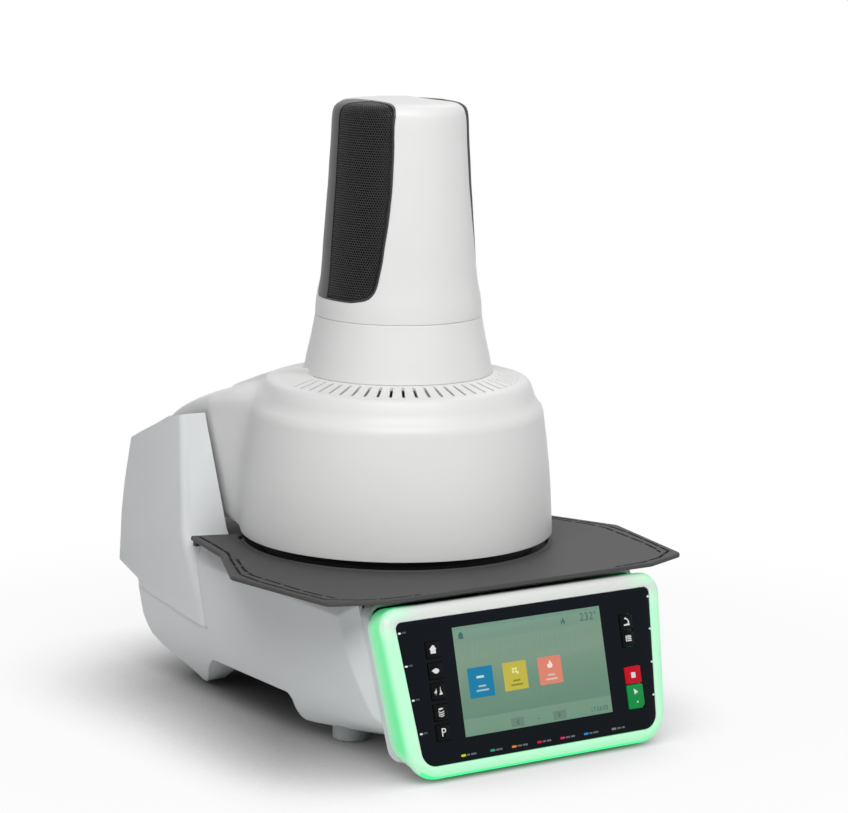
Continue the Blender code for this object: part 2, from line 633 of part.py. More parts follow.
def build_rear_sockets():
    """The steel cover in the rear recess, with mains inlet, rocker switch and vacuum port."""
    gap = FIT_GAP
    low = (gap - REAR_RECESS_HALF, REAR_RECESS_DEPTH + gap, REAR_RECESS_LOW_Z + gap)
    high = (REAR_RECESS_HALF - gap, REAR_RECESS_DEPTH + gap + REAR_PLATE, REAR_RECESS_TOP_Z - gap)
    cover = block('rear_cover', low, high)
    back = REAR_RECESS_DEPTH - SHELL_WALL * 2
    for x, half in ((INLET_X, INLET_HALF), (SWITCH_X, SWITCH_HALF)):
        hole = ((x - half[0] - gap, back, SOCKET_Z - half[1] - gap),
                (x + half[0] + gap, HOUSING_REAR, SOCKET_Z + half[1] + gap))
        combine(cover, block('cutter', *hole))
    combine(cover, rod('cutter', PORT_RADIUS + gap, back, HOUSING_REAR, (PORT_X, SOCKET_Z), along_y))
    finish(cover, DARK_STEEL, ROOT)
    front = REAR_RECESS_DEPTH - SHELL_WALL
    face = SWITCH_AXLE_Y + SOCKET_RISE
    inlet = block('power_inlet', (INLET_X - INLET_HALF[0], front, SOCKET_Z - INLET_HALF[1]),
                  (INLET_X + INLET_HALF[0], face, SOCKET_Z + INLET_HALF[1]))
    rim = SHELL_WALL / 2
    well = block('cutter', (INLET_X - INLET_HALF[0] + rim, front + SHELL_WALL, SOCKET_Z - INLET_HALF[1] + rim),
                 (INLET_X + INLET_HALF[0] - rim, face + CUT_OVERRUN, SOCKET_Z + INLET_HALF[1] - rim))
    combine(inlet, well)
    pin_half = INLET_HALF[0] / 14
    for step in (-1, 0, 1):
        pin_x = INLET_X + step * INLET_HALF[0] / 2
        pin = block('cutter', (pin_x - pin_half, front + rim, SOCKET_Z - pin_half * 3),
                    (pin_x + pin_half, face - rim, SOCKET_Z + pin_half * 3))
        combine(inlet, pin, 'UNION')
    finish(inlet, BLACK_PLASTIC, ROOT)
    rocker_frame = frame('power_switch_axis', (SWITCH_X, SWITCH_AXLE_Y, SOCKET_Z), ROOT)
    half_x, half_z = SWITCH_HALF
    nose = SHELL_WALL * 0.8
    rocker = [(-half_z, 0), (-half_z * 0.55, -nose), (half_z * 0.55, -nose), (half_z, 0), (half_z, nose * 0.5),
              (0, nose), (-half_z, nose * 0.5)]
    outline = []
    for a, b in rocker:
        spoke = Matrix.Rotation(SWITCH_TILT, 2) @ Vector((b, a * 0.94))
        outline.append((SWITCH_AXLE_Y + spoke.x, SOCKET_Z + spoke.y))
    prism('power_switch', outline, along_x, SWITCH_X - half_x, SWITCH_X + half_x, BLACK_PLASTIC, rocker_frame)
    port_profile = [(0, front), (PORT_RADIUS, front), (PORT_RADIUS, face - SHELL_WALL),
                    (PORT_RADIUS * 0.75, face), (PORT_RADIUS * 0.4, face), (PORT_RADIUS * 0.4, front + SHELL_WALL),
                    (0, front + SHELL_WALL)]
    port = turned('vacuum_port', port_profile, 20)
    port.data.transform(Matrix.Translation((PORT_X, 0, SOCKET_Z)) @ Matrix.Rotation(-math.pi / 2, 4, 'X'))
    finish(port, BRASS, ROOT)


# Control panel

def glass_half(v, grow=0.0):
    """Half width of the glass at a height on the panel."""
    share = (v + PANEL_BOTTOM) / (PANEL_TOP + PANEL_BOTTOM)
    return GLASS_BOTTOM_HALF + (GLASS_TOP_HALF - GLASS_BOTTOM_HALF) * share + grow


def glass_outline(grow=0.0):
    """The glass: a trapezium, tighter corners at the top."""
    top = PANEL_TOP + grow
    low = -PANEL_BOTTOM - grow
    least = SHELL_WALL / 3
    half = ((glass_half(low, grow), low, GLASS_CORNER_LOW + grow),
            (glass_half(top, grow), top, max(GLASS_CORNER_TOP + grow, least)))
    return rounded(mirrored(half))


def ring_outline(inset, flare=0.0, tuck=0.0):
    """Outer edge of the light ring, drawn in by inset at its rounded front edge, tucked up at its back."""
    top = RING_TOP - inset
    low = -RING_BOTTOM + inset + tuck
    half = (
        (RING_BOTTOM_HALF - inset + flare * 2, low, RING_CORNER_LOW - inset),
        (RING_TOP_HALF - inset * 0.9 + flare, top, RING_CORNER_TOP - inset),
    )
    return rounded(mirrored(half), 6)


def build_light_ring():
    """The translucent tub round the glass, with a rounded front edge and a ledge for the glass."""
    rings = []
    for step in range(4):
        angle = math.pi / 2 * step / 3
        inset = RING_FRONT_ROUND * (1 - math.sin(angle))
        depth = RING_FRONT_ROUND * (1 - math.cos(angle))
        rings.append([on_panel(u, v, depth) for u, v in ring_outline(inset)])
    rings.append([on_panel(u, v, RING_DEPTH) for u, v in ring_outline(0.0, RING_FLARE, RING_TUCK)])
    ring = loft('light_ring', rings)
    seat = GLASS_THICKNESS + FIT_GAP * 2
    combine(ring, prism('cutter', glass_outline(FIT_GAP), on_panel, -CUT_OVERRUN, seat))
    combine(ring, prism('cutter', glass_outline(-RING_LEDGE), on_panel, seat - CUT_OVERRUN / 4,
                        RING_DEPTH - SHELL_WALL))
    cable = SCREEN_HEIGHT / 4
    outline = [(-cable, -cable), (cable, -cable), (cable, cable), (-cable, cable)]
    combine(ring, prism('cutter', outline, on_panel, RING_DEPTH - SHELL_WALL * 2, RING_DEPTH + CUT_OVERRUN))
    finish(ring, LIGHT, ROOT)


def band_outline(spread, inset=0.0):
    """The grey band behind the ring, wider towards the base."""
    half = (
        (RING_BOTTOM_HALF + spread * 0.25 + RING_FLARE * 2 - inset, -BAND_BOTTOM + inset, BAND_CORNER_LOW),
        (RING_TOP_HALF + spread - inset, BAND_TOP + spread * 0.8 - inset, BAND_CORNER_TOP),
    )
    return rounded(mirrored(half), 4)


def build_panel_housing():
    """The grey band that carries the panel on the base."""
    start = RING_DEPTH + FIT_GAP
    rings = [[on_panel(u, v, start) for u, v in band_outline(-FIT_GAP)],
             [on_panel(u, v, BAND_DEPTH) for u, v in band_outline(BAND_SPREAD)]]
    band = loft('panel_housing', rings)
    inner = [[on_panel(u, v, start - CUT_OVERRUN) for u, v in band_outline(-FIT_GAP, SHELL_WALL)],
             [on_panel(u, v, BAND_DEPTH + CUT_OVERRUN) for u, v in band_outline(BAND_SPREAD, SHELL_WALL)]]
    combine(band, loft('cutter', inner))
    far = BASE_HALF_WIDTH * 2
    combine(band, block('cutter', (-far, -PANEL_Y * 2, DECK_Z), (far, 0, DECK_Z * 2)))
    finish(band, GREY, ROOT)


def key_table():
    """The nine keys of the panel: name, place, half sizes and material."""
    half = KEY_SIZE / 2
    keys = []
    for number, v in enumerate(LEFT_KEYS_V, 1):
        keys.append((f'key_left_{number}', LEFT_KEYS_U, v, half, half, KEY_BLACK))
    for number, v in enumerate(RIGHT_KEYS_V, 1):
        keys.append((f'key_right_{number}', RIGHT_KEYS_U, v, half, half * 0.98, KEY_BLACK))
    keys.append(('key_stop', RIGHT_KEYS_U, STOP_KEY_V, half * 1.25, STOP_KEY_HEIGHT / 2, KEY_RED))
    keys.append(('key_start', RIGHT_KEYS_U, START_KEY_V, half * 1.25, START_KEY_HEIGHT / 2, KEY_GREEN))
    return keys


def build_keys(glass):
    """Cut the glass for each key and put the key in, on its own push axis."""
    for name, u, v, half_u, half_v, surface in key_table():
        corner = KEY_SIZE / 10
        outline = rounded(((u + half_u, v - half_v, corner), (u + half_u, v + half_v, corner),
                           (u - half_u, v + half_v, corner), (u - half_u, v - half_v, corner)), 2)
        hole_u = half_u + FIT_GAP
        hole_v = half_v + FIT_GAP
        hole = [(u - hole_u, v - hole_v), (u + hole_u, v - hole_v), (u + hole_u, v + hole_v),
                (u - hole_u, v + hole_v)]
        combine(glass, prism('cutter', hole, on_panel, -CUT_OVERRUN, GLASS_THICKNESS + CUT_OVERRUN))
        carrier = frame(name + '_axis', tuple(on_panel(u, v, 0)), ROOT)
        prism(name, outline, on_panel, -KEY_RISE, KEY_DEPTH, surface, carrier)


def build_panel():
    """Glass, display, keys and the board behind them."""
    front = FIT_GAP
    glass = prism('panel_glass', glass_outline(), on_panel, front, front + GLASS_THICKNESS)
    half_w = SCREEN_WIDTH / 2
    half_h = SCREEN_HEIGHT / 2
    window = [(-half_w, -half_h), (half_w, -half_h), (half_w, half_h), (-half_w, half_h)]
    combine(glass, prism('cutter', window, on_panel, -CUT_OVERRUN, GLASS_THICKNESS + CUT_OVERRUN))
    build_keys(glass)
    finish(glass, GLASS, ROOT)
    small = [(u - math.copysign(FIT_GAP, u), v - math.copysign(FIT_GAP, v)) for u, v in window]
    prism('display_screen', small, on_panel, front * 2, BOARD_DEPTH - FIT_GAP, SCREEN, ROOT)
    low = -PANEL_BOTTOM + RING_LEDGE * 2
    high = PANEL_TOP - RING_LEDGE * 2
    half = glass_half(low) - RING_LEDGE * 2
    outline = [(-half, low), (half, low), (half, high), (-half, high)]
    prism('control_board', outline, on_panel, BOARD_DEPTH, BOARD_DEPTH + REAR_PLATE, BOARD, ROOT)


# Cooling tray and firing place

# Corners of the tray as shares of its half width and its front or rear reach, each with its rounding
tray_corner_shares = (
    (0.671, -1.000, 0.055),
    (0.899, -0.908, 0.055),
    (1.000, -0.293, 0.055),
    (0.832, 0.102, 0.055),
)
tray_notch_share = 0.717     # where the rear edge turns, as a share of the tips' distance


def build_tray():
    """The black plate round the head, open at the rear, and its hooks."""
    low = TRAY_TOP_Z - TRAY_THICKNESS
    corners = [(TRAY_HALF_WIDTH * x, TRAY_FRONT * y, TRAY_FRONT * radius)
               for x, y, radius in tray_corner_shares]
    corners.append((TRAY_TIP_X, TRAY_REAR, TRAY_THICKNESS / 2))
    corners.append((TRAY_TIP_X * tray_notch_share, TRAY_REAR - TRAY_REAR_SLANT, 0))
    tray = prism('cooling_tray', rounded(mirrored(corners), 3), along_z, low, TRAY_TOP_Z)
    hole = rod('cutter', TRAY_HOLE_RADIUS, low - CUT_OVERRUN, TRAY_TOP_Z + CUT_OVERRUN, (0, 0), segments=60)
    finish(combine(tray, hole), BLACK_PAINT, ROOT)
    outer = HOOK_INNER_X + HOOK_SIZE
    hook_top = low - FIT_GAP
    for side, name in ((-1, 'tray_hook_left'), (1, 'tray_hook_right')):
        block(name, (min(side * HOOK_INNER_X, side * outer), HOOK_REAR - HOOK_SIZE, hook_top - HOOK_SIZE),
              (max(side * HOOK_INNER_X, side * outer), HOOK_REAR, hook_top), BLACK_PLASTIC)


def build_firing_place():
    """Black deck plate, seal, and the round table that carries the muffle base."""
    low = DECK_Z + FIT_GAP
    top = DECK_Z + DECK_PLATE
    half = BASE_HALF_WIDTH - SHELL_WALL
    front = -PANEL_Y * 0.64
    rear = SEAM_TOP_Y - SHELL_WALL
    outline = rounded(mirrored(((half, front, FRONT_CORNER), (half, rear, FRONT_CORNER))))
    deck = prism('base_deck', outline, along_z, low, top)
    combine(deck, rod('cutter', TABLE_POST_RADIUS + FIT_GAP, 0, DECK_Z * 2, (0, 0), segments=32))
    finish(deck, BLACK_PLASTIC, ROOT)
    inner = TRAY_HOLE_RADIUS - SHELL_WALL * 5
    outer = TRAY_HOLE_RADIUS - SHELL_WALL
    seal_top = HEAD_BOTTOM_Z - SHELL_WALL
    lip = (seal_top - top) / 2
    seal = [(inner, top + FIT_GAP), (outer, top + FIT_GAP), (outer, seal_top - lip), (outer - lip, seal_top),
            (inner + lip, seal_top), (inner, seal_top - lip)]
    turned('seal_ring', seal, 40, RUBBER_BLACK)
    post_top = TRAY_TOP_Z
    post_low = DECK_Z * 0.7
    post = [(0, post_low), (TABLE_POST_RADIUS, post_low), (TABLE_POST_RADIUS, post_top), (0, post_top)]
    turned('table_support', post, 32, STEEL)
    table_low = post_top + FIT_GAP
    table_top = HEAD_BOTTOM_Z + SHELL_WALL
    table = [(0, table_low), (TABLE_RADIUS, table_low), (TABLE_RADIUS, table_top), (0, table_top)]
    turned('firing_table', table, 40, CERAMIC)


def build_base_inside():
    """Power supply and its bracket on the bottom plate."""
    low = BOTTOM_PLATE_Z + REAR_PLATE + FIT_GAP
    half = BASE_HALF_WIDTH * 0.38
    depth = PANEL_Y * 0.28
    block('power_supply', (-half, -PANEL_Y * 0.32 - depth, low), (half, -PANEL_Y * 0.32, DECK_Z * 0.66), STEEL)
    radius = TABLE_RADIUS * 0.45
    top = DECK_Z * 0.6
    turned('vacuum_valve', [(0, low), (radius, low), (radius, top), (0, top)], 20, DARK_STEEL, ROOT,
           (PORT_X, BASE_REAR * 0.72))


# Head

# Drum and crown: height share and radius share
drum_shares = (
    (0.000, 1.000), (0.185, 0.991), (0.440, 0.972), (0.570, 0.957), (0.690, 0.940), (0.755, 0.932),
    (0.790, 0.921), (0.820, 0.893), (0.850, 0.873), (0.913, 0.852), (0.944, 0.840), (0.953, 0.810),
    (0.957, 0.770),
)
# Inside of the drum
drum_hollow_shares = ((-0.030, 0.970), (0.440, 0.942), (0.720, 0.902), (0.780, 0.870), (0.880, 0.810),
                      (0.905, 0.760), (0.960, 0.560))
# Arm sections: distance behind the axis, half width low and high, underside, edge height, centre height,
# as shares of the arm's rear reach, its half width, the head's bottom and the head's top
arm_shares = (
    (0.060, 0.880, 0.880, 1.000, 0.925, 0.960),
    (0.220, 0.890, 0.895, 1.000, 0.932, 0.978),
    (0.343, 0.850, 0.950, 1.000, 0.926, 0.965),
    (0.458, 0.836, 1.000, 1.000, 0.902, 0.945),
    (0.595, 0.834, 0.992, 1.000, 0.875, 0.915),
    (0.755, 0.806, 0.940, 1.000, 0.838, 0.862),
    (0.870, 0.792, 0.893, 1.010, 0.803, 0.825),
    (0.938, 0.782, 0.862, 1.050, 0.780, 0.796),
    (0.975, 0.775, 0.845, 1.120, 0.757, 0.770),
    (1.000, 0.750, 0.800, 1.230, 0.715, 0.726),
)
# Spine behind the tower: distance behind the axis, half width and height
spine_shares = (
    (0.050, 0.620, 1.022),
    (0.210, 0.630, 1.002),
    (0.410, 0.660, 0.966),
    (0.615, 0.660, 0.912),
    (0.655, 0.600, 0.896),
)


def arm_ring(share, inset=0.0):
    """One upright section of the arm, drawn in by inset."""
    back, low_half, high_half, low, edge, middle = share
    y = ARM_REAR * back
    bottom = HEAD_BOTTOM_Z * low + inset
    shoulder = HEAD_TOP_Z * edge - inset
    crest = HEAD_TOP_Z * middle - inset
    low_x = ARM_HALF_WIDTH * low_half - inset
    high_x = ARM_HALF_WIDTH * high_half - inset
    drop = (crest - bottom) * 0.05
    half = [
        (low_x - drop * 0.2, bottom),
        (low_x, bottom + drop * 0.2),
        (high_x, shoulder - drop * 2),
        (high_x - drop * 0.6, shoulder - drop * 0.5),
        (high_x - drop * 2, shoulder + (crest - shoulder) * 0.30),
        (high_x * 0.70, shoulder + (crest - shoulder) * 0.80),
        (high_x * 0.30, crest),
    ]
    points = half + [(-x, z) for x, z in reversed(half)]
    return [(x, y, z) for x, z in points]


def spine_ring(share):
    """One upright section of the spine."""
    back, half_share, level = share
    half = ARM_HALF_WIDTH * half_share
    top = HEAD_TOP_Z * level
    low = HEAD_TOP_Z * 0.86
    edge = SHELL_WALL
    corners = [(half + edge, low), (half, top - edge * 1.6), (half - edge, top - edge * 0.4),
               (half - edge * 3, top)]
    return [(x, ARM_REAR * back, z) for x, z in corners + [(-x, z) for x, z in reversed(corners)]]


def build_head_shell(parent):
    """The head casting: drum with a slotted crown, and the arm back to the hinge."""
    outer = [(0.0, HEAD_BOTTOM_Z)] + circle_shares(drum_shares, DRUM_RADIUS, HEAD_BOTTOM_Z, HEAD_TOP_Z)
    shell = turned('head_shell', outer + [(SKIRT_RADIUS, HEAD_TOP_Z), (0.0, HEAD_TOP_Z)], 48)
    combine(shell, loft('joined', [arm_ring(share) for share in arm_shares]), 'UNION')
    combine(shell, loft('joined', [spine_ring(share) for share in spine_shares]), 'UNION')
    over = HEAD_TOP_Z + CUT_OVERRUN * 4
    combine(shell, rod('cutter', SKIRT_RADIUS + FIT_GAP, HEAD_TOP_Z - FIT_GAP, over, (0, 0), segments=36))
    hollow = circle_shares(drum_hollow_shares, DRUM_RADIUS, HEAD_BOTTOM_Z, HEAD_TOP_Z)
    inside = turned('cutter', [(0.0, hollow[0][1])] + hollow + [(0.0, hollow[-1][1])], 32)
    combine(inside, loft('joined', [arm_ring(share, CAST_WALL) for share in arm_shares[:-1]]), 'UNION')
    throat = TOWER_RADIUS * 0.9
    low = HEAD_TOP_Z - DRUM_RADIUS / 5
    combine(inside, rod('joined', throat, low, HEAD_TOP_Z + CUT_OVERRUN, (0, 0), segments=32), 'UNION')
    combine(shell, inside)
    combine(shell, slot_fan())
    combine(shell, rod('cutter', PIN_RADIUS + FIT_GAP, -DRUM_RADIUS, DRUM_RADIUS, (HINGE_Y, HINGE_Z), along_x))
    finish(shell, WHITE, parent)


def slot_fan():
    """One cutter for the fan of radial cooling slots in the front half of the crown."""
    bm = bmesh.new()
    middle = (SLOT_COUNT - 1) / 2
    length = DRUM_RADIUS * slot_outer_share - SLOT_INNER_RADIUS
    depth = CAST_WALL * 5
    place = Matrix.Translation((0, -(SLOT_INNER_RADIUS + length / 2), HEAD_TOP_Z - depth / 3))
    size = Matrix.Diagonal((SLOT_WIDTH, length, depth, 1))
    for index in range(SLOT_COUNT):
        turn = Matrix.Rotation((index - middle) * SLOT_PITCH, 4, 'Z')
        bmesh.ops.create_cube(bm, size=1, matrix=turn @ place @ size)
    return solid('cutter', bm)


def build_head_inside(parent):
    """Flange, insulation with its cap, quartz muffle and thermocouple of the firing chamber."""
    low = HEAD_BOTTOM_Z + FIT_GAP
    top = low + SHELL_WALL
    outer = DRUM_RADIUS * 0.955
    ring = [(MUFFLE_RADIUS, low), (outer, low), (outer, top), (MUFFLE_RADIUS, top)]
    turned('head_flange', ring, 40, DARK_STEEL, parent)
    low = top + FIT_GAP
    bore = MUFFLE_RADIUS + FIT_GAP
    wool = [(bore, low), (INSULATION_RADIUS, low), (INSULATION_RADIUS, MUFFLE_TOP_Z), (bore, MUFFLE_TOP_Z)]
    turned('insulation', wool, 30, CERAMIC, parent)
    neck = PLUNGER_RADIUS * 1.7
    roof = MUFFLE_TOP_Z + FIT_GAP
    lid = [(neck, roof), (INSULATION_RADIUS, roof), (INSULATION_RADIUS, INSULATION_TOP_Z), (neck, INSULATION_TOP_Z)]
    cap = turned('insulation_cap', lid, 30)
    reach = HEAD_TOP_Z * 0.93
    probe = (MUFFLE_RADIUS * 0.55, MUFFLE_RADIUS * 0.55)
    combine(cap, rod('cutter', PIN_RADIUS * 0.8 + FIT_GAP, MUFFLE_TOP_Z - CUT_OVERRUN, reach, probe, segments=12))
    finish(cap, CERAMIC, parent)
    wall = MUFFLE_RADIUS * 0.92
    quartz = [(wall, MUFFLE_LOW_Z), (MUFFLE_RADIUS, MUFFLE_LOW_Z), (MUFFLE_RADIUS, MUFFLE_TOP_Z),
              (wall, MUFFLE_TOP_Z)]
    turned('heating_muffle', quartz, 30, QUARTZ, parent)
    rod('thermocouple', PIN_RADIUS * 0.8, MUFFLE_TOP_Z - SHELL_WALL * 6, reach - SHELL_WALL, probe, along_z, 12,
        CERAMIC, parent)


# Tower

# Skirt and tower: height share and radius share
skirt_shares = ((0.00, 1.000), (0.10, 0.980), (0.27, 0.962), (0.63, 0.914), (1.00, 0.875))
tower_shares = (
    (0.000, 1.000), (0.070, 0.988), (0.160, 0.953), (0.350, 0.918), (0.630, 0.865), (0.905, 0.826),
    (0.955, 0.812), (0.977, 0.784), (0.991, 0.740), (0.999, 0.670), (1.000, 0.000),
)


def wall_profile(profile_shares, radius, low, high, wall, set_back=0.0):
    """A thin turned wall that follows a profile."""
    outer = circle_shares(profile_shares, radius, low, high, -set_back)
    outer = [(r, z - set_back if r < radius * 0.8 else z) for r, z in outer]
    inner = [(r - wall if r > 0 else 0.0, z - wall if r < radius * 0.8 else z) for r, z in outer]
    return outer + list(reversed(inner))


def window_tool(side, shrink):
    """The cutter of a side window: rounded lower corners, and a tapered end over the tower's shoulder."""
    half = TOWER_RADIUS * window_half_share - shrink
    low = WINDOW_LOW_Z + shrink
    high = TOWER_TOP_Z + CUT_OVERRUN
    far = TOWER_RADIUS * 1.3
    square = math.sqrt(1 + WINDOW_SPREAD ** 2)
    end = TOWER_RADIUS * window_top_share + shrink
    bend = (half + shrink * square) / WINDOW_SPREAD
    reach = end * WINDOW_SPREAD - shrink * square
    plan = [(side * end, -reach, WINDOW_TOP_CORNER), (side * bend, -half, 0), (side * far, -half, 0),
            (side * far, half, 0), (side * bend, half, 0), (side * end, reach, WINDOW_TOP_CORNER)]
    body = prism('cutter', rounded(plan), along_z, low, high)
    outline = rounded(((-half, low, WINDOW_CORNER), (half, low, WINDOW_CORNER), (half, high * 2, 0),
                       (-half, high * 2, 0)), 5)
    return combine(body, prism('cutter', outline, along_x, 0, side * far * 2), 'INTERSECT')


def build_tower(parent):
    """Skirt, tower cover and the two perforated grilles in its windows."""
    skirt_top = TOWER_BASE_Z - FIT_GAP
    skirt = wall_profile(skirt_shares, SKIRT_RADIUS, HEAD_TOP_Z, skirt_top, SHELL_WALL)
    turned('tower_skirt', skirt, 36, WHITE, parent)
    walls = wall_profile(tower_shares, TOWER_RADIUS, TOWER_BASE_Z, TOWER_TOP_Z, TOWER_WALL)
    cover = turned('tower_shell', walls, 36)
    for side in (-1, 1):
        combine(cover, window_tool(side, 0.0))
    finish(cover, WHITE, parent)
    for side, name in ((-1, 'grille_left'), (1, 'grille_right')):
        sheet = turned(name, wall_profile(tower_shares, TOWER_RADIUS, TOWER_BASE_Z, TOWER_TOP_Z, GRILLE_WALL,
                                          GRILLE_SET_BACK), 36)
        combine(sheet, window_tool(side, FIT_GAP), 'INTERSECT')
        combine(sheet, perforation(side))
        finish(sheet, BLACK_PLASTIC, parent)


def perforation(side):
    """Staggered rows of radial holes as one cutter."""
    bm = bmesh.new()
    row_step = GRILLE_PITCH * 0.866
    low = WINDOW_LOW_Z + GRILLE_PITCH
    rows = int((TOWER_TOP_Z - GRILLE_PITCH * 1.6 - low) / row_step) + 1
    mid_radius = TOWER_RADIUS * 0.9
    step = GRILLE_PITCH / mid_radius
    half_turn = math.asin(window_half_share - GRILLE_PITCH * 0.55 / TOWER_RADIUS)
    for row in range(rows):
        height = low + row * row_step
        shift = step / 2 * (row % 2)
        count = int((half_turn - shift) / step)
        for column in range(-count - (row % 2), count + 1):
            angle = column * step + shift
            turn = Matrix.Rotation(angle + (0 if side > 0 else math.pi), 4, 'Z')
            place = turn @ Matrix.Translation((mid_radius, 0, height)) @ Matrix.Rotation(math.pi / 2, 4, 'Y')
            bmesh.ops.create_cone(bm, cap_ends=True, segments=4, radius1=GRILLE_HOLE / 2 * 1.25,
                                  radius2=GRILLE_HOLE / 2 * 1.25, depth=mid_radius / 2, matrix=place)
    return solid('cutter', bm)


# Press drive

def build_press(parent):
    """Motor, screw and guide rods, and the ram that they drive down into the chamber."""
    plate_top = MOTOR_PLATE_Z + SHELL_WALL
    plate_radius = TOWER_RADIUS * 0.70
    plate = turned('motor_plate', [(0, MOTOR_PLATE_Z), (plate_radius, MOTOR_PLATE_Z), (plate_radius, plate_top),
                                   (0, plate_top)], 24)
    over = plate_top + CUT_OVERRUN
    combine(plate, rod('cutter', SCREW_RADIUS + FIT_GAP, 0, over, (0, 0)))
    for side in (-1, 1):
        combine(plate, rod('cutter', ROD_RADIUS + FIT_GAP, 0, over, (side * ROD_X, 0)))
    finish(plate, STEEL, parent)
    low = plate_top + FIT_GAP
    corner = MOTOR_HALF / 5
    outline = rounded(mirrored(((MOTOR_HALF, -MOTOR_HALF, corner), (MOTOR_HALF, MOTOR_HALF, corner))), 2)
    prism('press_motor', outline, along_z, low, low + MOTOR_HEIGHT, DARK_STEEL, parent)
    rod('press_screw', SCREW_RADIUS, SCREW_LOW_Z, plate_top, (0, 0), along_z, 16, STEEL, parent)
    for side, name in ((-1, 'guide_rod_left'), (1, 'guide_rod_right')):
        rod(name, ROD_RADIUS, ROD_LOW_Z, plate_top, (side * ROD_X, 0), along_z, 14, STEEL, parent)
    ram = frame('press_ram_axis', (0, 0, CROSSHEAD_Z), parent)
    build_ram(ram)


def build_ram(ram):
    """Crosshead with its tube round the screw, and the ceramic plunger below it."""
    bore = SCREW_RADIUS + FIT_GAP * 2
    top = CROSSHEAD_Z + CROSSHEAD_THICKNESS
    tube_low = PLUNGER_TOP_Z + FIT_GAP
    width = ROD_X + ROD_RADIUS * 2.5
    collar = top + SHELL_WALL / 2
    profile = [(0, tube_low), (RAM_TUBE_RADIUS, tube_low), (RAM_TUBE_RADIUS, collar), (bore, collar),
               (bore, tube_low + SHELL_WALL), (0, tube_low + SHELL_WALL)]
    crosshead = turned('press_crosshead', profile, 20)
    depth = RAM_TUBE_RADIUS * 1.3
    corner = SHELL_WALL
    outline = rounded(mirrored(((width, -depth, corner), (width, depth, corner))), 2)
    bar = prism('joined', outline, along_z, CROSSHEAD_Z, top)
    combine(bar, rod('cutter', RAM_TUBE_RADIUS - SHELL_WALL / 2, 0, collar, (0, 0)))
    for side in (-1, 1):
        combine(bar, rod('cutter', ROD_RADIUS + FIT_GAP, 0, collar, (side * ROD_X, 0), segments=14))
    combine(crosshead, bar, 'UNION')
    finish(crosshead, STEEL, ram)
    plunger = [(0, PLUNGER_LOW_Z), (PLUNGER_RADIUS, PLUNGER_LOW_Z), (PLUNGER_RADIUS, PLUNGER_TOP_Z),
               (0, PLUNGER_TOP_Z)]
    turned('press_plunger', plunger, 20, CERAMIC, ram)


def build_furnace():
    """Build every piece, base first."""
    build_base_shell()
    build_feet()
    build_bottom_plate()
    build_rear_housing()
    build_hinge()
    build_rear_sockets()
    build_light_ring()
    build_panel_housing()
    build_panel()
    build_tray()
    build_firing_place()
    build_base_inside()
    head = frame('head_axis', (0, HINGE_Y, HINGE_Z), ROOT)
    build_head_shell(head)
    build_head_inside(head)
    build_tower(head)
    build_press(head)


build_furnace()
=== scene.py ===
import bmesh, bpy
import numpy as np
from math import cos, hypot, pi, radians, sin, sqrt, tan, tau
from mathutils import Matrix, Vector


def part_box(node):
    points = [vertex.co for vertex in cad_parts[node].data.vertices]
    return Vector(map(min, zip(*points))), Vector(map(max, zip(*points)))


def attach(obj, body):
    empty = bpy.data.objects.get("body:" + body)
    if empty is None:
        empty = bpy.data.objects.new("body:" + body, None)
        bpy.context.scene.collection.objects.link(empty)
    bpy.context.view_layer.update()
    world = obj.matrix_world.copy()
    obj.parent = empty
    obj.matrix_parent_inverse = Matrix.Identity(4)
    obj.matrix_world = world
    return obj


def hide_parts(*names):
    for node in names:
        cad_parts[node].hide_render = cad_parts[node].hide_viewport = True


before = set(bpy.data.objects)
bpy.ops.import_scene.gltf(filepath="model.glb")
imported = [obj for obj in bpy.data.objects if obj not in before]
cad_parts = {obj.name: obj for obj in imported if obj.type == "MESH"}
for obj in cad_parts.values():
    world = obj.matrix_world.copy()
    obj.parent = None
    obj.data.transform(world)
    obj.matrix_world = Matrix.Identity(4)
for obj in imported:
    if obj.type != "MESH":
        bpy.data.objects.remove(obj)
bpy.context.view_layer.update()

# Studio: a pale floor that runs to white in the distance, with a contact shadow painted round the furnace, two
# soft lamps high on either side of the camera, a low one on the right, a high one at the back and one above.
# The camera stands where the photograph's did.
scene = bpy.context.scene
scene.view_settings.view_transform = 'Standard'
skirt_low, skirt_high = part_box('tower_skirt')
axis_y = (skirt_low.y + skirt_high.y) / 2      # the upright axis of the furnace head


def placed(name, data):
    """An object with its data, put in the scene."""
    thing = bpy.data.objects.new(name, data)
    scene.collection.objects.link(thing)
    return thing


turn, lift, roll = (radians(angle) for angle in (-33.284, 10.213, 0.675))
back = Vector((sin(turn) * cos(lift), -cos(turn) * cos(lift), sin(lift)))
level_right = Vector((cos(turn), sin(turn), 0))
level_up = back.cross(level_right)
camera_right = level_right * cos(roll) + level_up * sin(roll)
camera_up = level_up * cos(roll) - level_right * sin(roll)
camera = placed('camera', bpy.data.cameras.new('camera'))
camera.data.sensor_width = 36
camera.data.lens = 134.23
camera.data.clip_start, camera.data.clip_end = 0.1, 40
camera.matrix_world = Matrix((camera_right, camera_up, back)).transposed().to_4x4()
camera.location = (-1.4357, -2.2281 + axis_y, 0.737)
scene.camera = camera

